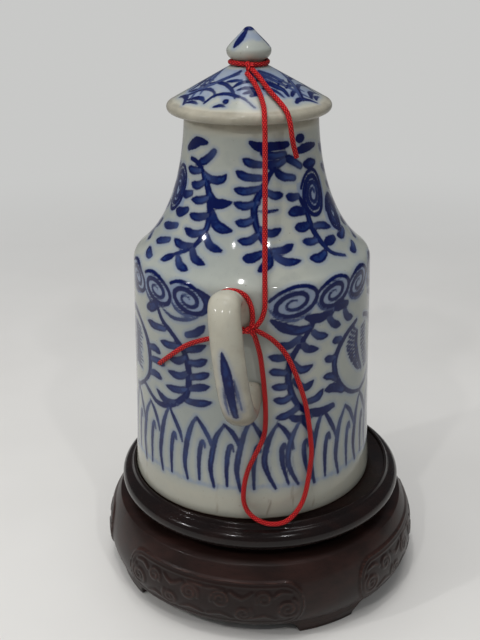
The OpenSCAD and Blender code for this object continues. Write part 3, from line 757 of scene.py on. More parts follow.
# The coils round the shoulder, by turn, height and half widths. The handle's root has the place of one.
COILS = [(-61, 106, 10.6, 6.9), (-41.5, 105.6, 11.2, 7.2), (-22.3, 105.4, 10.8, 7.4),
         (26.6, 105.2, 13.2, 7.6), (47.6, 106, 11.6, 7.2), (66.4, 106, 10.6, 6.9)]
COILS += [(66.4 + 19.4 * n, 106, 10.8, 6.9) for n in range(1, 11)]
THROAT_COILS = [(-62, 145, 12, 11), (58, 145, 13, 10.5), (77, 134, 10, 8)]
for x, h, wide, tall in COILS:
    lean = -2.2 if x < 0 or x > 180 else 2.2
    middle = [(x - 0.45 * wide, h - 0.4 * lean), (x + 0.45 * wide, h + 0.4 * lean)]
    painting.blot(on_pot(middle), 1.5 * tall, 0.4)
    painting.stroke(on_pot(coil((x, h), wide, tall, 2.3, lean)), 2.2, 1.0, 0.7, 0.35, parts=2)
    painting.stroke(on_pot([(x - 0.9 * wide, h - 1.5), (x - 0.6 * wide, h - 5.4), (x, h - tall - 0.2),
                            (x + 0.6 * wide, h - 5.6)]), 1.7, 0.6, 0.3, 0.4)
painting.stroke(on_pot([(-17, 110.5), (-12.6, 107), (-12, 103.6), (-15.5, 99.6)]), 4.4, 1.0, 0.4, 0.4)
painting.stroke(on_pot([(-38, 98.4), (-30, 95.2), (-21, 96.4), (-16, 99)]), 1.8, 0.7, 0.5, 0.4)

for group in (0, 180):
    for (width, ink, start, end), route in FIELD + FLOWERS + THROAT:
        painting.stroke(on_pot(moved(route, group)), width, ink, start, end)
    for x, h, wide, tall in THROAT_COILS:
        spiral = moved(coil((x, h), wide, tall, 3.4, lean=2.0), group)
        middle = moved([(x - 0.4 * wide, h - 1), (x + 0.4 * wide, h + 1)], group)
        painting.stroke(on_pot(spiral), 2.3, 0.95, 0.6, 0.6, parts=2)
        painting.blot(on_pot(middle), 1.7 * tall, 0.4)

# Standing leaves round the foot: 27 pointed arches, each with a short inner stroke
PEAKS = [-76.4, -62.6, -48.7, -34, -18.5, -5.2, 7, 18.8, 29.5, 41.7, 56, 69.7]
PEAKS += [69.7 + 13.33 * n for n in range(1, 16)]
for n, x in enumerate(PEAKS):
    top = 49 + 1.4 * math.sin(2.3 * n)
    low = 15.5 + 0.9 * math.sin(1.7 * n + 1)
    slant = 4.0 if 8 < x < 40 else 0.0
    leg = [(-4.7 + slant, low), (-6.3 + slant * 0.5, 24), (-5.8, 31), (-4, 40.3), (-1.8, top - 3), (0, top)]
    limb = [(0.2, top + 0.6), (3.9, 44.6), (6.6, 39.4), (7.8, 35)]
    hook = [(1.4 + slant, low + 1.4), (1.2 + slant * 0.4, 27), (2.1, 35.3), (3.4, 38.2), (4.4, 35)]
    ink = 0.8 + 0.16 * math.sin(3.1 * n)
    for route, width in ((leg, 2.8), (limb, 2.4), (hook, 2.4)):
        painting.stroke(on_pot(moved(route, x)), width, ink, 0.5, 0.45)
# One brush line right round under them
painting.blot(on_pot([(x, 16.6 + 0.7 * math.sin(x / 9)) for x in range(-180, 181, 6)]), 1.6)

# ---------------------------------------------------------------- glaze

GLAZE, GLAZE_SHADE, WORN_GLAZE = (0.358, 0.366, 0.32), (0.284, 0.306, 0.286), (0.42, 0.39, 0.31)
COBALT, DEEP_COBALT = (0.017, 0.049, 0.178), (0.003, 0.007, 0.058)
HALO, WASH = (0.12, 0.175, 0.32), (0.12, 0.18, 0.34)
TEA_STAIN, IRON_SPECK = (0.13, 0.10, 0.075), (0.13, 0.08, 0.045)
CLAY, CLAY_PALE = (0.36, 0.27, 0.17), (0.56, 0.47, 0.35)


def darker(colour, share):
    return tuple(v * share for v in colour)


def porcelain():
    """A grey-white body under a soft blue-green glaze, painted in cobalt before it was glazed."""
    f = Finish("painted_glaze", Specular_IOR_Level=0.22)
    blur = f.noise(2.4, 2.0) - 0.5
    grain = f.noise(0.7, 2.0) - 0.5
    pool = f.noise(4.5, 2.0, 0.6)
    ink = f.layer("cobalt_ink")
    edge = f.layer("cobalt_line") + blur * 0.55 + grain * 0.35
    body = f.mix(f.noise(38.0, 2.0).step(0.3, 0.7), GLAZE_SHADE, GLAZE)
    body = f.mix(f.noise(7.0, 3.0, 0.6).step(0.45, 0.75) * 0.3, body, darker(GLAZE_SHADE, 0.88))
    wear_and_shade = f.layer("thin_glaze_and_shade")
    body = f.mix(wear_and_shade * (f.noise(5.0, 2.0) * 0.5 + 0.6), body, WORN_GLAZE)
    # Where the layer runs high the glaze turns dark and mottled: painted shade under the lid and round the
    # lid's rim, darker places on the handle, and stains low on the bud
    grime_and_shade = (wear_and_shade + f.noise(9.0, 3.0, 0.6) * 0.8).step(1.1, 1.9)
    body = f.mix(grime_and_shade * 0.8, body, darker(WORN_GLAZE, 0.45))
    body = f.mix(f.layer("hairline") * f.noise(6.0, 1.0).step(0.35, 0.6) * 0.5, body, TEA_STAIN)
    body = f.mix(f.noise(1.1, 1.0).step(0.755, 0.8) * 0.5, body, IRON_SPECK)
    body = f.mix(edge.step(2.3, -0.2) * 0.4, body, HALO)
    washed = (f.layer("cobalt_wash") + blur * 2.2).step(1.2, -1.2)
    body = f.mix(washed * (pool * 0.5 + 0.2), body, WASH)
    # Cobalt gathers at the rim of a stroke and runs thin down its middle
    thin = edge.step(-0.55, -1.25) * pool.step(0.38, 0.6) * f.noise(13.0, 1.0).step(0.36, 0.56)
    deep = (pool.step(0.3, 0.62) * 0.35 + 0.8 - thin * 0.55) * ink
    blue = f.mix(deep.step(0.1, 0.9), COBALT, DEEP_COBALT)
    body = f.mix(edge.step(0.42, -0.34) * (ink * 0.6 + 0.5), body, blue)
    clay = f.layer("bare_clay")
    body = f.mix(clay, body, f.mix(f.noise(1.6, 3.0, 0.7), CLAY, CLAY_PALE))
    f.set("Base Color", body)
    f.set("Roughness", clay * 0.55 + wear_and_shade * 0.08 + 0.08)
    f.bump(f.noise(14.0, 2.0) + f.noise(2.2, 1.0) * 0.06 + clay * f.noise(0.6, 2.0) * 0.3, 0.35, 0.35)
    return f.material


glaze = porcelain()

# ---------------------------------------------------------------- wear on the pot

bare_clay = np.where(~outside & (height < 1.0) & (radius > 50), 1.0, 0.0)
# Fine cracks in the glaze, stained by tea, run up from the foot: turn, height and sway
CRACKS = [(14, 27, 1.6), (27, 40, -1.2), (36, 22, 0.8), (-9, 18, 1.0), (-52, 30, -1.5), (118, 34, 1.4),
          (163, 20, -1.0), (205, 29, 1.2), (251, 24, -1.4)]
crackle = Brushwork(turn, up, radius)
for x, top, sway in CRACKS:
    route = [(x, 2.5), (x + sway, 0.3 * top), (x + 0.3 * sway, 0.6 * top), (x + 1.2 * sway, top)]
    crackle.stroke(on_pot(route), 0.35, 1.0, 1.0, 0.6)
# The foot is warmer where its glaze runs thin; the top of the neck warms and darkens as painted shadow under
# the lid
foot_worn, shadow_under_lid = np.clip((14.5 - height) / 4, 0, 0.65), np.clip((height - 170.5) / 4, 0, 1.15)
finished("painted_pot", pot_bm, "pot", glaze, ["pot_foot", "pot_body"],
         {**painting.layers(), "bare_clay": bare_clay, "hairline": np.clip((0.45 - crackle.line) / 0.4, 0, 1),
          "thin_glaze_and_shade": np.where(outside, foot_worn + shadow_under_lid, 0.3)})

# ---------------------------------------------------------------- spout

SPOUT_ROOT_H, SPOUT_REACH, SPOUT_TIP_H = 92, 80, 149
SPOUT_ROOT_R, SPOUT_TIP_R, SPOUT_WALL, LIP_ROLL = 15.5, 6.8, 2.1, 1.0
SPOUT_SHOWS, SPOUT_TIPPING = 53.0, 12
spout_line = bezier([
    (wall_at(SPOUT_ROOT_H) - 5.5, SPOUT_ROOT_H - 3), (wall_at(SPOUT_ROOT_H) + 13, SPOUT_ROOT_H + 2),
    (72, 118.5), (SPOUT_REACH, SPOUT_TIP_H)], 56)
to_tip = np.linspace(0, 1, len(spout_line))
shows = spout_line[:, 0] > SPOUT_SHOWS
spout_line, to_tip = spout_line[shows], to_tip[shows]
spout_along = lengths(spout_line)
spout_outer = SPOUT_TIP_R + (SPOUT_ROOT_R - SPOUT_TIP_R) * (1 - to_tip) ** 1.6
spout_inner = spout_outer - SPOUT_WALL - 1.6 * (1 - to_tip)
root_fillet = 1.7 * np.exp(-spout_along / 3.4)
plain_hoops = hoops([(POT[0], y, h + SEAT) for y, h in spout_line], up=(1, 0, 0))
spout_hoops = []
for s, (_, _, way, at) in zip(spout_along, plain_hoops):
    # The root lies flat against the wall, and the rings tip over on the way out
    way = way + (np.array((0, 1.0, 0)) - way) * max(0.0, 1 - s / SPOUT_TIPPING)
    side = np.cross(way, (1, 0, 0))
    side, way = side / np.linalg.norm(side), way / np.linalg.norm(way)
    spout_hoops.append((side, np.cross(way, side), way, at))
rings = [ring_at(hoop, r, r) for hoop, r in zip(spout_hoops, spout_outer + root_fillet)]
along = list(spout_along)
across, upward, way, at = spout_hoops[-1]
for q in np.radians((30, 60, 90, 120, 150)):
    # The lip is rolled over from the outside to the inside
    r = (spout_outer[-1] + spout_inner[-1]) / 2 + LIP_ROLL * math.cos(q)
    rings.append(ring_at((across, upward, way, at + way * (LIP_ROLL * math.sin(q) * 0.8)), r, r))
    along.append(along[-1] + 0.5)
for hoop, r in list(zip(spout_hoops, spout_inner))[::-4]:
    rings.append(ring_at(hoop, r, r))
    along.append(along[-1] + 4)
spout_bm = drawn(rings, 72, along, closed_ends=False)
marks = [spout_bm.verts.layers.float[name] for name in ("along", "round_x", "round_y")]
spout_up, round_x, round_y = np.array([[v[mark] for mark in marks] for v in spout_bm.verts]).T
spout_paint = Brushwork(np.degrees(np.arctan2(round_y, round_x)),
                        np.where(spout_up <= spout_along[-1] + 0.1, spout_up, UNPAINTED),
                        np.interp(spout_up, spout_along, spout_outer))
SPRAY = [(STEM, [(0, 14), (7, 26), (-6, 38), (5, 52), (0, 64)])]
for n, s in enumerate((19, 26, 33, 40, 47, 54)):
    side = 1 if n % 2 else -1
    SPRAY += [(LEAF, [(side * 78, s + 8), (side * 45, s + 3), (side * 8, s)]),
              (LEAF, [(-side * 78, s + 5), (-side * 42, s + 1), (-side * 6, s + 2)])]
SPRAY += [((2.0, 0.8, 0.8, 0.8), [(a, 70.5) for a in range(-180, 181, 30)])]
for (width, ink, start, end), route in SPRAY:
    spout_paint.stroke(route, width * 0.8, ink, start, end)
finished("pouring_spout", spout_bm, "pot", glaze, ["spout"],
         {**spout_paint.layers(), "thin_glaze_and_shade": np.clip(spout_up / 90, 0, 0.6)})

# ---------------------------------------------------------------- handle

REACH, TOP_H, LOW_H, MID_H, LEAN, SIDE = 79.0, 95.0, 65.0, 86.5, 7.0, 1.3
STRAP_T, STRAP_W, STRAP_STEPS, STRAP_SHOWS = 9.8, 13.8, 44, 53.2
strap_line = np.vstack([
    bezier([(wall_at(TOP_H) - 6, TOP_H), (wall_at(TOP_H) + 2, 104), (77, 133), (REACH, MID_H)], STRAP_STEPS),
    bezier([(REACH, MID_H), (79.8, 68.5), (71, 48), (wall_at(LOW_H) - 6, LOW_H + 2.5)], STRAP_STEPS)[1:]])
to_root = np.abs(np.arange(len(strap_line)) - STRAP_STEPS) / STRAP_STEPS
shows = strap_line[:, 0] > STRAP_SHOWS
strap_line, to_root = strap_line[shows], to_root[shows]
clear = np.maximum(strap_line[:, 0] - [wall_at(h) for h in strap_line[:, 1]], 0)
flare = 0.9 * to_root ** 4 + 1.5 * np.exp(-clear / 1.5)
handle_bm = swept([(0, -y, h) for y, h in strap_line],
                  lambda i: (STRAP_T / 2 + flare[i], STRAP_W / 2 + flare[i]), 56, up=(1, 0, 0))
strap_x, strap_y, strap_h = np.array([v.co for v in handle_bm.verts]).T
# Painted down the outer face, on a surface whose turns are millimetres across it
downward = strap_line[40:]
outer_face = strap_y < np.interp(-strap_h, -downward[:, 1], -downward[:, 0]) + 1.0
handle_paint = Brushwork(strap_x, np.where(outer_face | (strap_h < 52), strap_h, UNPAINTED),
                         np.full(len(strap_x), 1 / TURN))
handle_paint.stroke([(-1.5, 96), (-1.0, 90), (-0.5, 82), (-0.4, 73), (-0.2, 65)], 4.4, 1.0, 0.2, 0.6)
handle_paint.stroke([(2.0, 84), (2.6, 76), (3.0, 68)], 1.3, 0.45, 0.4, 0.4)
handle_paint.stroke([(-3.2, 80), (-3.2, 72), (-2.8, 66)], 1.2, 0.5, 0.4, 0.4)
# Warmer, and darker, at the lower bend and along both edges
low_bend_darkening = 0.6 * np.exp(-((strap_h - 55) / 11) ** 2)
edge_darkening = 0.35 * np.exp(-((np.abs(strap_x) - 7) / 1.6) ** 2)
leaned = (Matrix.Translation((POT[0] + SIDE, 0, MID_H + SEAT)) @ Matrix.Rotation(math.radians(-LEAN), 4, "Y")
          @ Matrix.Translation((0, 0, -MID_H)))
bmesh.ops.transform(handle_bm, matrix=leaned, verts=handle_bm.verts)
finished("strap_handle", handle_bm, "pot", glaze, ["handle"],
         {**handle_paint.layers(), "thin_glaze_and_shade": 0.8 + low_bend_darkening + edge_darkening})

# ---------------------------------------------------------------- lid

LID, LID_Z, LID_R, LID_H, EDGE_R, FLAT_R = (-5.0, 0.0), 231.5, 37.0, 19.8, 2.3, 8.0
FLANGE_R, FLANGE_H, HOLLOW_R, HOLLOW_TOP = 24.2, 11.0, 21.2, 15.0
VENT_R, VENT_AT = 1.1, 0.55 * LID_R
slope = math.degrees(math.atan((LID_H - 2 * EDGE_R) / (LID_R - EDGE_R - FLAT_R)))
lid_edge = arc((LID_R - EDGE_R, EDGE_R), EDGE_R, -75, 90 - slope, 14)
lid_face = even(np.vstack([lid_edge[-1:], [(FLAT_R, LID_H)]]), 0.7)
lid_profile = np.vstack([
    [(HOLLOW_R, -FLANGE_H), (FLANGE_R - 0.8, -FLANGE_H), (FLANGE_R - 0.2, -FLANGE_H + 0.7), (FLANGE_R, -9.4)],
    [(FLANGE_R, -5), (FLANGE_R, -0.8), (FLANGE_R + 0.5, 0), (28, 0), (LID_R - EDGE_R - 0.6, 0)],
    lid_edge, lid_face[1:], [(FLAT_R - 1.5, LID_H), (0, LID_H)], [(0, HOLLOW_TOP), (3, HOLLOW_TOP)],
    bezier([(5, 14.6), (12, 10), (20.7, 6), (HOLLOW_R, 0)], 12), [(HOLLOW_R, -5), (HOLLOW_R, -FLANGE_H)]])
blank = turned([(r, h + LID_Z) for r, h in lid_profile], LID, ((*WHOLE, 320),))
# The small air hole at the back
lid_bm = drilled(blank, rods([(LID[0], VENT_AT, LID_Z + 10)], VENT_R, 20, Matrix.Identity(4)))
lid_turn, lid_radius, lid_height = places(lid_bm, LID, LID_Z)
face = np.interp(lid_radius, lid_face[::-1, 0], lid_face[::-1, 1])
on_face = (lid_height > face - 0.4) & (lid_radius < LID_R - EDGE_R + 1.5)
UP = 1 / math.cos(math.radians(slope))
lid_paint = Brushwork(lid_turn, np.where(on_face, (LID_R - lid_radius) * UP, UNPAINTED), lid_radius)


def on_lid(points):
    """Turns and radii as turns and places up the slope from the edge."""
    return [(x, (LID_R - r) * UP) for x, r in points]


SCALE, FILL, SWEEP = (2.2, 0.85, 0.5, 0.35), (2.8, 0.95, 0.5, 0.4), (2.5, 0.7, 0.6, 0.4)
SCALES = [
    # Long pulls from under the bud out to the rim, then the scales between them
    (SWEEP, [(-12, 10.5), (-38, 17), (-58, 25), (-66, 30.5)]),
    (SWEEP, [(20, 10), (42, 15), (58, 22), (70, 31)]),
    (SWEEP, [(32, 10.5), (50, 13.5), (62, 18.5), (73, 26)]), (SWEEP, [(8, 11.5), (26, 14.5), (42, 18)]),
    (SCALE, [(-66, 30), (-59.5, 27.4), (-52.9, 24), (-41, 22.6), (-30.4, 24), (-26, 26.5)]),
    (FILL, [(-52, 30.3), (-45, 28.4), (-38, 28.2), (-33, 29.6)]),
    (SCALE, [(-50, 32), (-44, 30.8), (-37, 31.4)]),
    (SCALE, [(-31, 30.6), (-27.7, 26), (-17, 24), (-5, 25), (4.1, 26.9), (12.1, 31.8)]),
    (FILL, [(-13, 27.6), (-11.8, 29.4)]), (SCALE, [(-20, 31.8), (-15.5, 30.8), (-11, 31.4)]),
    (SCALE, [(-52.9, 19.7), (-41, 18.2), (-27.7, 18.5), (-17, 20.1), (-9.2, 23.1), (-5.2, 26.5)]),
    (SCALE, [(-35.7, 16.3), (-25, 13.8), (-11.8, 12.4)]),
    (SCALE, [(-25, 17.2), (-14.5, 16.3), (-3.8, 15.8)]),
    (SCALE, [(-11.8, 20.1), (-5.2, 17.7), (5.4, 16.7), (12, 17)]),
    (SCALE, [(-5.2, 21.6), (2.8, 20.4), (12, 20.6), (20, 22)]), (FILL, [(9.4, 25), (14, 24), (20, 24.5)]),
    (SCALE, [(2, 23.6), (10, 22.6), (17, 23)]),
    ((3.6, 1.0, 0.5, 0.4), [(27, 17), (35.9, 18.2), (42.6, 20.6), (47.2, 23), (46.6, 26.5)]),
    (SCALE, [(16, 17), (24, 15.6), (34, 14.6), (46, 14.4)]),
    (SCALE, [(24, 21), (31, 21.4), (38, 23.6), (41, 27)]),
    (FILL, [(47.9, 30.8), (54.5, 29.4), (62.5, 30.3), (69, 33.3)]),
    (SCALE, [(50, 27), (57, 25), (66, 24.6)]), (SCALE, [(48, 19.5), (56, 18), (66, 17.6)]),
    (SCALE, [(54, 22), (60, 21.2), (68, 21.6)]),
]
WASHES = [([(-52, 27), (-38, 26)], 4.5), ([(-40, 20.5), (-22, 21.5)], 3.6), ([(-20, 14.5), (0, 14)], 3.6),
          ([(-4, 19), (14, 18.6)], 3.4), ([(-16, 22.4), (4, 24)], 3.0), ([(30, 19.6), (40, 23)], 4.0),
          ([(52, 28), (64, 27.4)], 3.6), ([(50, 16.5), (66, 15.8)], 3.2),
          ([(-62, 14), (0, 13), (60, 14)], 8.5), ([(-70, 26), (-58, 27), (-44, 26)], 5.5),
          ([(-14, 25), (2, 22), (26, 22), (44, 25), (74, 27)], 6.5)]
for group in (0, 122, 241):
    for (width, ink, start, end), route in SCALES:
        lid_paint.stroke(on_lid(moved(route, group)), width, ink, start, end)
    for route, width in WASHES:
        lid_paint.blot(on_lid(moved(route, group)), width)
# Bare where it sits on the neck, and at the end of its collar
sits = (lid_height < 0.3) & (lid_radius > 27) & (lid_radius < 33.5)
# Towards the rim the glaze warms where it runs thin and darkens as painted shade
finished("painted_lid", lid_bm, "lid", glaze, ["lid_cap"],
         {**lid_paint.layers(), "bare_clay": np.where((lid_height < -FLANGE_H + 0.9) | sits, 1.0, 0),
          "thin_glaze_and_shade": np.clip((lid_radius - 32) / 2.4, 0, 1.15)})

# ---------------------------------------------------------------- bud and the cord tied round it

BUD_NECK_R, BUD_R, BUD_H = 7.0, 9.9, 16.2
bud_profile = np.vstack([
    [(0, 0), (BUD_NECK_R + 0.5, 0), (BUD_NECK_R + 0.2, 0.3), (BUD_NECK_R, 0.7), (BUD_NECK_R, 1.6)],
    bezier([(BUD_NECK_R + 0.3, 2.4), (8.5, 2.9), (BUD_R, 4.2), (BUD_R, 6.2)], 12),
    bezier([(9.8, 7), (8.3, 9.4), (4.6, 12.4), (2.2, 15.2)], 14), [(1.6, 15.75), (0.9, 16.08), (0, BUD_H)]])
bud_bm = turned([(r, h + LID_Z + LID_H) for r, h in bud_profile], LID, ((*WHOLE, 96),))
bud_turn, bud_radius, bud_up = places(bud_bm, LID, LID_Z + LID_H)
bud_paint = Brushwork(bud_turn, bud_up, np.maximum(bud_radius, 0.2))
for at, wide in ((-34, 3.6), (96, 3.4), (206, 3.6)):
    bud_paint.stroke([(at - 4, 8.8), (at, 10.4), (at + 6, 12.4), (at + 14, 14.6)], wide, 1.0, 0.5, 0.5)
bud_paint.stroke([(a, 15.5) for a in range(-180, 181, 30)], 1.5, 0.9, 0.9, 0.9, parts=2)
bud_paint.blot([(-60, 12), (0, 12.6), (60, 12)], 3.0)
finished("bud_finial", bud_bm, "lid", glaze, ["finial"],
         {**bud_paint.layers(), "thin_glaze_and_shade": np.clip((7.5 - bud_up) / 4, 0, 1.3)})

TIE_R, TIE_H = BUD_NECK_R + 1.2, 1.2
q = np.radians(np.arange(0, 361, 6))
tie = np.stack([LID[0] + TIE_R * np.cos(q), TIE_R * np.sin(q),
                LID_Z + LID_H + TIE_H + 0.25 * np.sin(2 * q)], 1)
tie_bm = round_cord(tie, up=(0, 0, 1), closed_ends=False)
bmesh.ops.remove_doubles(tie_bm, verts=tie_bm.verts, dist=0.02)
finished("tie_round_bud", tie_bm, "lid", braid, ["lid_collar"])

# ---------------------------------------------------------------- stand

def hardwood(name, dark, brown, rough, carved=False):
    """Close-grained hardwood, stained nearly black and polished with lacquer.

    Carved, it has painted shade in its hollows, and rubbed wear with a painted highlight on its raised edges.
    """
    f = Finish(name, Specular_IOR_Level=0.2, Coat_Weight=0.14, Coat_Roughness=0.08)
    long_grain = f.noise(1.3, 4.0, 0.65, place=f.stretched(0.09, 1, 1))
    streak = f.noise(9.0, 3.0, 0.6, place=f.stretched(0.25, 1, 1))
    pores = f.noise(0.5, 2.0, 0.5, place=f.stretched(0.12, 1, 1)).step(0.62, 0.75)
    tone = f.mix(streak.step(0.35, 0.7) * 0.7 + long_grain * 0.3, dark, brown)
    tone = f.mix(pores * 0.6, tone, darker(dark, 0.35))
    height = long_grain * 0.12 - pores * 0.3
    if carved:
        # Painted shade in the carved hollows
        hollow_shade = f.layer("shade_in_hollows")
        tone = f.mix(hollow_shade.step(0.15, 0.9) * (streak * 0.6 + 0.15), tone, (0.009, 0.004, 0.004))
        # Lighter along the raised edges: rubbed wear, and a painted highlight
        tone = f.mix(f.layer("rubbed_and_lit_edge") * long_grain.step(0.4, 0.65) * 0.5, tone, (0.085, 0.034, 0.024))
    f.set("Base Color", tone)
    f.set("Roughness", streak * 0.12 + pores * 0.2 + rough)
    f.bump(height, 0.5, 0.15)
    return f.material


RED_BROWN = ((0.011, 0.0055, 0.0045), (0.028, 0.0115, 0.009), 0.34)
black_lacquer = hardwood("lacquered_moulding", (0.007, 0.005, 0.005), (0.014, 0.007, 0.006), 0.12)
stained_wood = hardwood("stained_wood", *RED_BROWN)
carved_wood = hardwood("carved_wood", *RED_BROWN, carved=True)

SEAT_R, TOP_R, TORUS_R, LIP = 63.7, 70.6, 5.0, 1.7
# Heights of the apron's lower edge, of its top with the waist on it, and of the top on the waist
APRON_LOW, APRON_TOP, TOP_UNDER = 7.5, 38.5, 43.5
HOLLOW, WAIST_R = 52.5, 61.5
top_profile = np.vstack([
    [(0, TOP_UNDER), (40, TOP_UNDER), (TOP_R - TORUS_R - 1, TOP_UNDER)],
    arc((TOP_R - TORUS_R, TOP_UNDER + TORUS_R), TORUS_R, -90, 75, 26),
    bezier([(TOP_R - TORUS_R + 0.6, TOP_UNDER + 2 * TORUS_R), (SEAT_R + 1.9, SEAT - 0.2),
            (SEAT_R + 1.7, SEAT + LIP - 0.3), (SEAT_R + 1, SEAT + LIP)], 10),
    [(SEAT_R + 0.5, SEAT + LIP - 0.02), (SEAT_R + 0.2, SEAT + LIP - 0.2), (SEAT_R, SEAT + LIP - 0.7)],
    [(SEAT_R, SEAT + 0.3), (SEAT_R - 0.3, SEAT), (40, SEAT), (0, SEAT)]])
top_bm = turned(top_profile, (0, 0), ((*WHOLE, 192),))
finished("moulded_top", top_bm, "stand", black_lacquer, ["stand_top"], crease=50)

# How far the waist is drawn in, at heights above the apron
WAIST_BEND = [(0, 0), (0.1, 0.9), (0.6, 1.8), (0.7, 2.5), (0.6, 3.2), (0.1, 4.1), (0, 5)]
waist_profile = [(WAIST_R - drawn_in, APRON_TOP + h) for drawn_in, h in WAIST_BEND]
waist_profile += [(HOLLOW, TOP_UNDER), (HOLLOW, APRON_TOP), (WAIST_R, APRON_TOP)]
waist_bm = turned(waist_profile, (0, 0), ((*WHOLE, 160),))
finished("drawn_in_waist", waist_bm, "stand", black_lacquer, ["stand_waist"], crease=40)

# ---------------------------------------------------------------- carved apron and feet

APRON_LOW_R, APRON_TOP_R = 75.2, 72.2
apron_line = bezier([(APRON_LOW_R, APRON_LOW), (81.8, 16.18), (77, 31.06), (APRON_TOP_R, APRON_TOP)], 60)
apron_profile = np.vstack([
    even(apron_line, 0.6), [(64, APRON_TOP), (HOLLOW, APRON_TOP), (HOLLOW, APRON_TOP - 5)],
    [(60.7, 33.5), (64.6, 29), (68.7, 23), (67.6, 15)],
    [(65.7, APRON_LOW), (70, APRON_LOW), (APRON_LOW_R, APRON_LOW)]])
apron_bm = turned(apron_profile, (0, 0), ((*WHOLE, 768),))
apron_x, apron_y, apron_z = np.array([v.co for v in apron_bm.verts]).T
polar, apron_r = np.degrees(np.arctan2(apron_y, apron_x)), np.hypot(apron_x, apron_y)
skin = apron_r > np.interp(apron_z, apron_line[:, 1], apron_line[:, 0]) - 0.15
apron_up = np.interp(apron_z, apron_line[:, 1], lengths(apron_line))

# Four raised panels with round ends, the first with its middle at PANEL_TURN
PANELS, PANEL_TURN, PANEL_Z, PANEL_STRAIGHT, PANEL_HALF_H, PANEL_T = 4, -12, 20.0, 34.7, 11.7, 0.9
EACH = 360 / PANELS
from_middle = (polar - PANEL_TURN + EACH / 2) % EACH - EACH / 2
sideways, upright = np.abs(apron_r * np.sin(np.radians(from_middle))), apron_z - PANEL_Z
round_end = np.hypot(np.maximum(sideways - PANEL_STRAIGHT, 0) / 0.8, upright)
border = np.where(sideways > PANEL_STRAIGHT, round_end, np.abs(upright)) - PANEL_HALF_H


def rise(values, low, high):
    """0 at low, 1 at high, and a smooth change between them."""
    t = np.clip((values - low) / (high - low), 0, 1)
    return t * t * (3 - 2 * t)


# The scrolls of half a panel, in degrees round the stand and millimetres up from its middle: spirals with
# their size, rings and start, then the tendrils between them
SPIRALS = [(28.5, -1.5, 5.6, 2.0, 60), (20.5, 4.2, 3.8, 1.6, 210), (13.5, -3.8, 4.4, 1.8, 40),
           (5.6, 2.8, 4.6, 1.9, 200)]
TENDRILS = [
    [(24, 5), (26.5, 7.4), (30, 6.4)], [(16, -7), (20.5, -5), (24.5, -7.4)], [(9, 6.8), (13, 4), (16.4, 7)],
    [(1, -6.8), (5.6, -5), (9.8, -7.4)], [(0.6, 7.4), (3.4, 8), (6.6, 7.8)]]
MM_A_DEGREE = 1.36
SCROLLS = [coil((x, y), size / MM_A_DEGREE, size, rings, start=start) for x, y, size, rings, start in SPIRALS]
SCROLLS += TENDRILS
mid_up = float(np.interp(PANEL_Z, apron_line[:, 1], lengths(apron_line)))
relief = Brushwork(polar, np.where(skin, apron_up, UNPAINTED), apron_r)
for k in range(PANELS):
    for mirror in (-1, 1):
        for route in SCROLLS:
            placed = [(mirror * x + PANEL_TURN + EACH * k, y + mid_up) for x, y in route]
            relief.stroke(placed, 1.7, 1.0, 0.8, 0.5, parts=2)
# The ground of each panel is cut away round the scrolls, within a groove along its border
GROUND_DEPTH, SCROLL_H, GROOVE_DEPTH = 0.42, 0.5, 0.35
ground = rise(border, -2.2, -3.0)
groove = rise(np.abs(border + 1.2), 0.75, 0.15)
raised = rise(relief.line, 0.55, -0.35)
lift = (PANEL_T * rise(border, 0.5, -0.4) - GROOVE_DEPTH * groove
        + ground * (SCROLL_H * raised - GROUND_DEPTH))
for v, direction, d in zip(apron_bm.verts, np.radians(polar), np.where(skin, lift, 0)):
    v.co.x += math.cos(direction) * d
    v.co.y += math.sin(direction) * d
# How deep each point lies in a hollow, which sets its painted shade
hollow_shade = np.where(skin, np.maximum(groove, ground * (1 - raised)), 0)
# Rubbed wear and a painted highlight along the raised scrolls and the panel's border
rubbed_and_lit = ground * rise(relief.line, -0.35, -0.75) + rise(np.abs(border + 0.15), 0.5, 0.1) * 0.8
finished("carved_apron", apron_bm, "stand", carved_wood, ["stand_apron"],
         {"shade_in_hollows": hollow_shade, "rubbed_and_lit_edge": np.where(skin, rubbed_and_lit, 0)}, crease=60)

for letter in "abcd":
    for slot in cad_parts["stand_foot_" + letter].material_slots:
        slot.material = stained_wood

# ---------------------------------------------------------------- studio

FLOOR_PALE, FLOOR_SHADE = (0.70, 0.685, 0.655), (0.67, 0.655, 0.625)
ROOM, MIRRORED, BACKGROUND = (0.20, 0.208, 0.222), (0.12, 0.125, 0.132), (0.58, 0.582, 0.573)
# Metres from the middle between which the floor turns to the even tone of the background
NEAR, FAR = 0.26, 0.85

floor_bm = bmesh.new()
bmesh.ops.create_grid(floor_bm, x_segments=1, y_segments=1, size=6.0)
floor_mesh = bpy.data.meshes.new("floor")
floor_bm.to_mesh(floor_mesh)
floor_bm.free()
floor = bpy.data.objects.new("floor", floor_mesh)
scene.collection.objects.link(floor)
floor.location.z = -0.0002
pale = Finish("pale_floor", Roughness=0.7)
pale.set("Base Color", pale.mix(pale.noise(120.0, 3.0).step(0.3, 0.7), FLOOR_PALE, FLOOR_SHADE))
floor_mesh.materials.append(pale.material)
floor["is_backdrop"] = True

# Far from the object the floor shows the camera the same even tone as the world
seen = pale.node("ShaderNodeLightPath", out="Is Camera Ray")
far = pale.node("ShaderNodeVectorMath", dict(operation="LENGTH"), {0: pale.place}, "Value").step(NEAR, FAR)
even_tone = pale.node("ShaderNodeEmission", None, {"Color": BACKGROUND})
lit = Value(pale, pale.shader.outputs[0])
blend = pale.node("ShaderNodeMixShader", None, {0: seen * far, 1: lit, 2: even_tone})
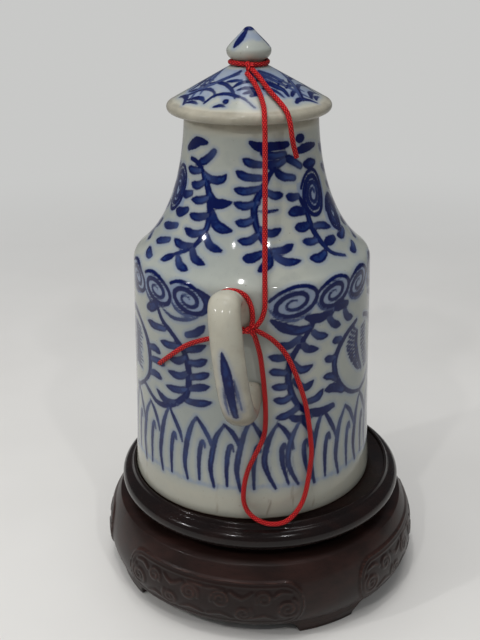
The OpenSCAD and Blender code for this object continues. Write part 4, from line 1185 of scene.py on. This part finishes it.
pale.plug(pale.tree.nodes["Material Output"].inputs["Surface"], blend)


def lamp(name, at, aim, width, height, watts):
    light = bpy.data.lights.new(name, "AREA")
    light.shape, light.size, light.size_y, light.energy = "RECTANGLE", width, height, watts
    obj = bpy.data.objects.new(name, light)
    obj.location = at
    obj.rotation_mode = "QUATERNION"
    obj.rotation_quaternion = (Vector(aim) - Vector(at)).to_track_quat("-Z", "Y")
    scene.collection.objects.link(obj)
    return obj


# Two panels light the object without a mirror image in the glaze. What shines there is a soft glow from
# behind and four bulbs.
for panel in (lamp("ceiling_panel", (-0.15, -0.2, 1.7), (0, 0, 0.1), 1.2, 1.2, 14.5),
              lamp("softbox_left", (-1.2, -0.6, 0.8), (0, 0, 0.12), 0.8, 0.8, 2)):
    panel.visible_glossy = False
lamp("soft_glow", (0.1, 0.3, 1.5), (0, 0, 0.1), 0.7, 0.3, 2)
BULB, BULB_WATTS = 0.03, 1.2
for name, at in (("bulb_left", (-0.66, -0.42, 0.62)), ("bulb_middle", (-0.23, -0.73, 0.82)),
                 ("bulb_right", (0.39, -0.66, 0.82)), ("bulb_above", (-0.08, -0.26, 1.15))):
    lamp(name, at, (0, 0, 0.15), BULB, BULB, BULB_WATTS)

# The world is the room to the surfaces, a darker one in their gloss, and the even tone to the camera
world = bpy.data.worlds.new("studio")
scene.world = world
world.use_nodes = True
nodes, links = world.node_tree.nodes, world.node_tree.links
path = nodes.new("ShaderNodeLightPath")
shown = None
for ray, colour in (("Is Glossy Ray", MIRRORED), ("Is Camera Ray", BACKGROUND)):
    choice = nodes.new("ShaderNodeMix")
    choice.data_type = "RGBA"
    choice.inputs[6].default_value, choice.inputs[7].default_value = (*ROOM, 1), (*colour, 1)
    links.new(path.outputs[ray], choice.inputs[0])
    if shown is not None:
        links.new(shown, choice.inputs[6])
    shown = choice.outputs[2]
links.new(shown, nodes["Background"].inputs["Color"])
nodes["Background"].inputs["Strength"].default_value = 1.0
scene.view_settings.view_transform = "Standard"

low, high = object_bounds()
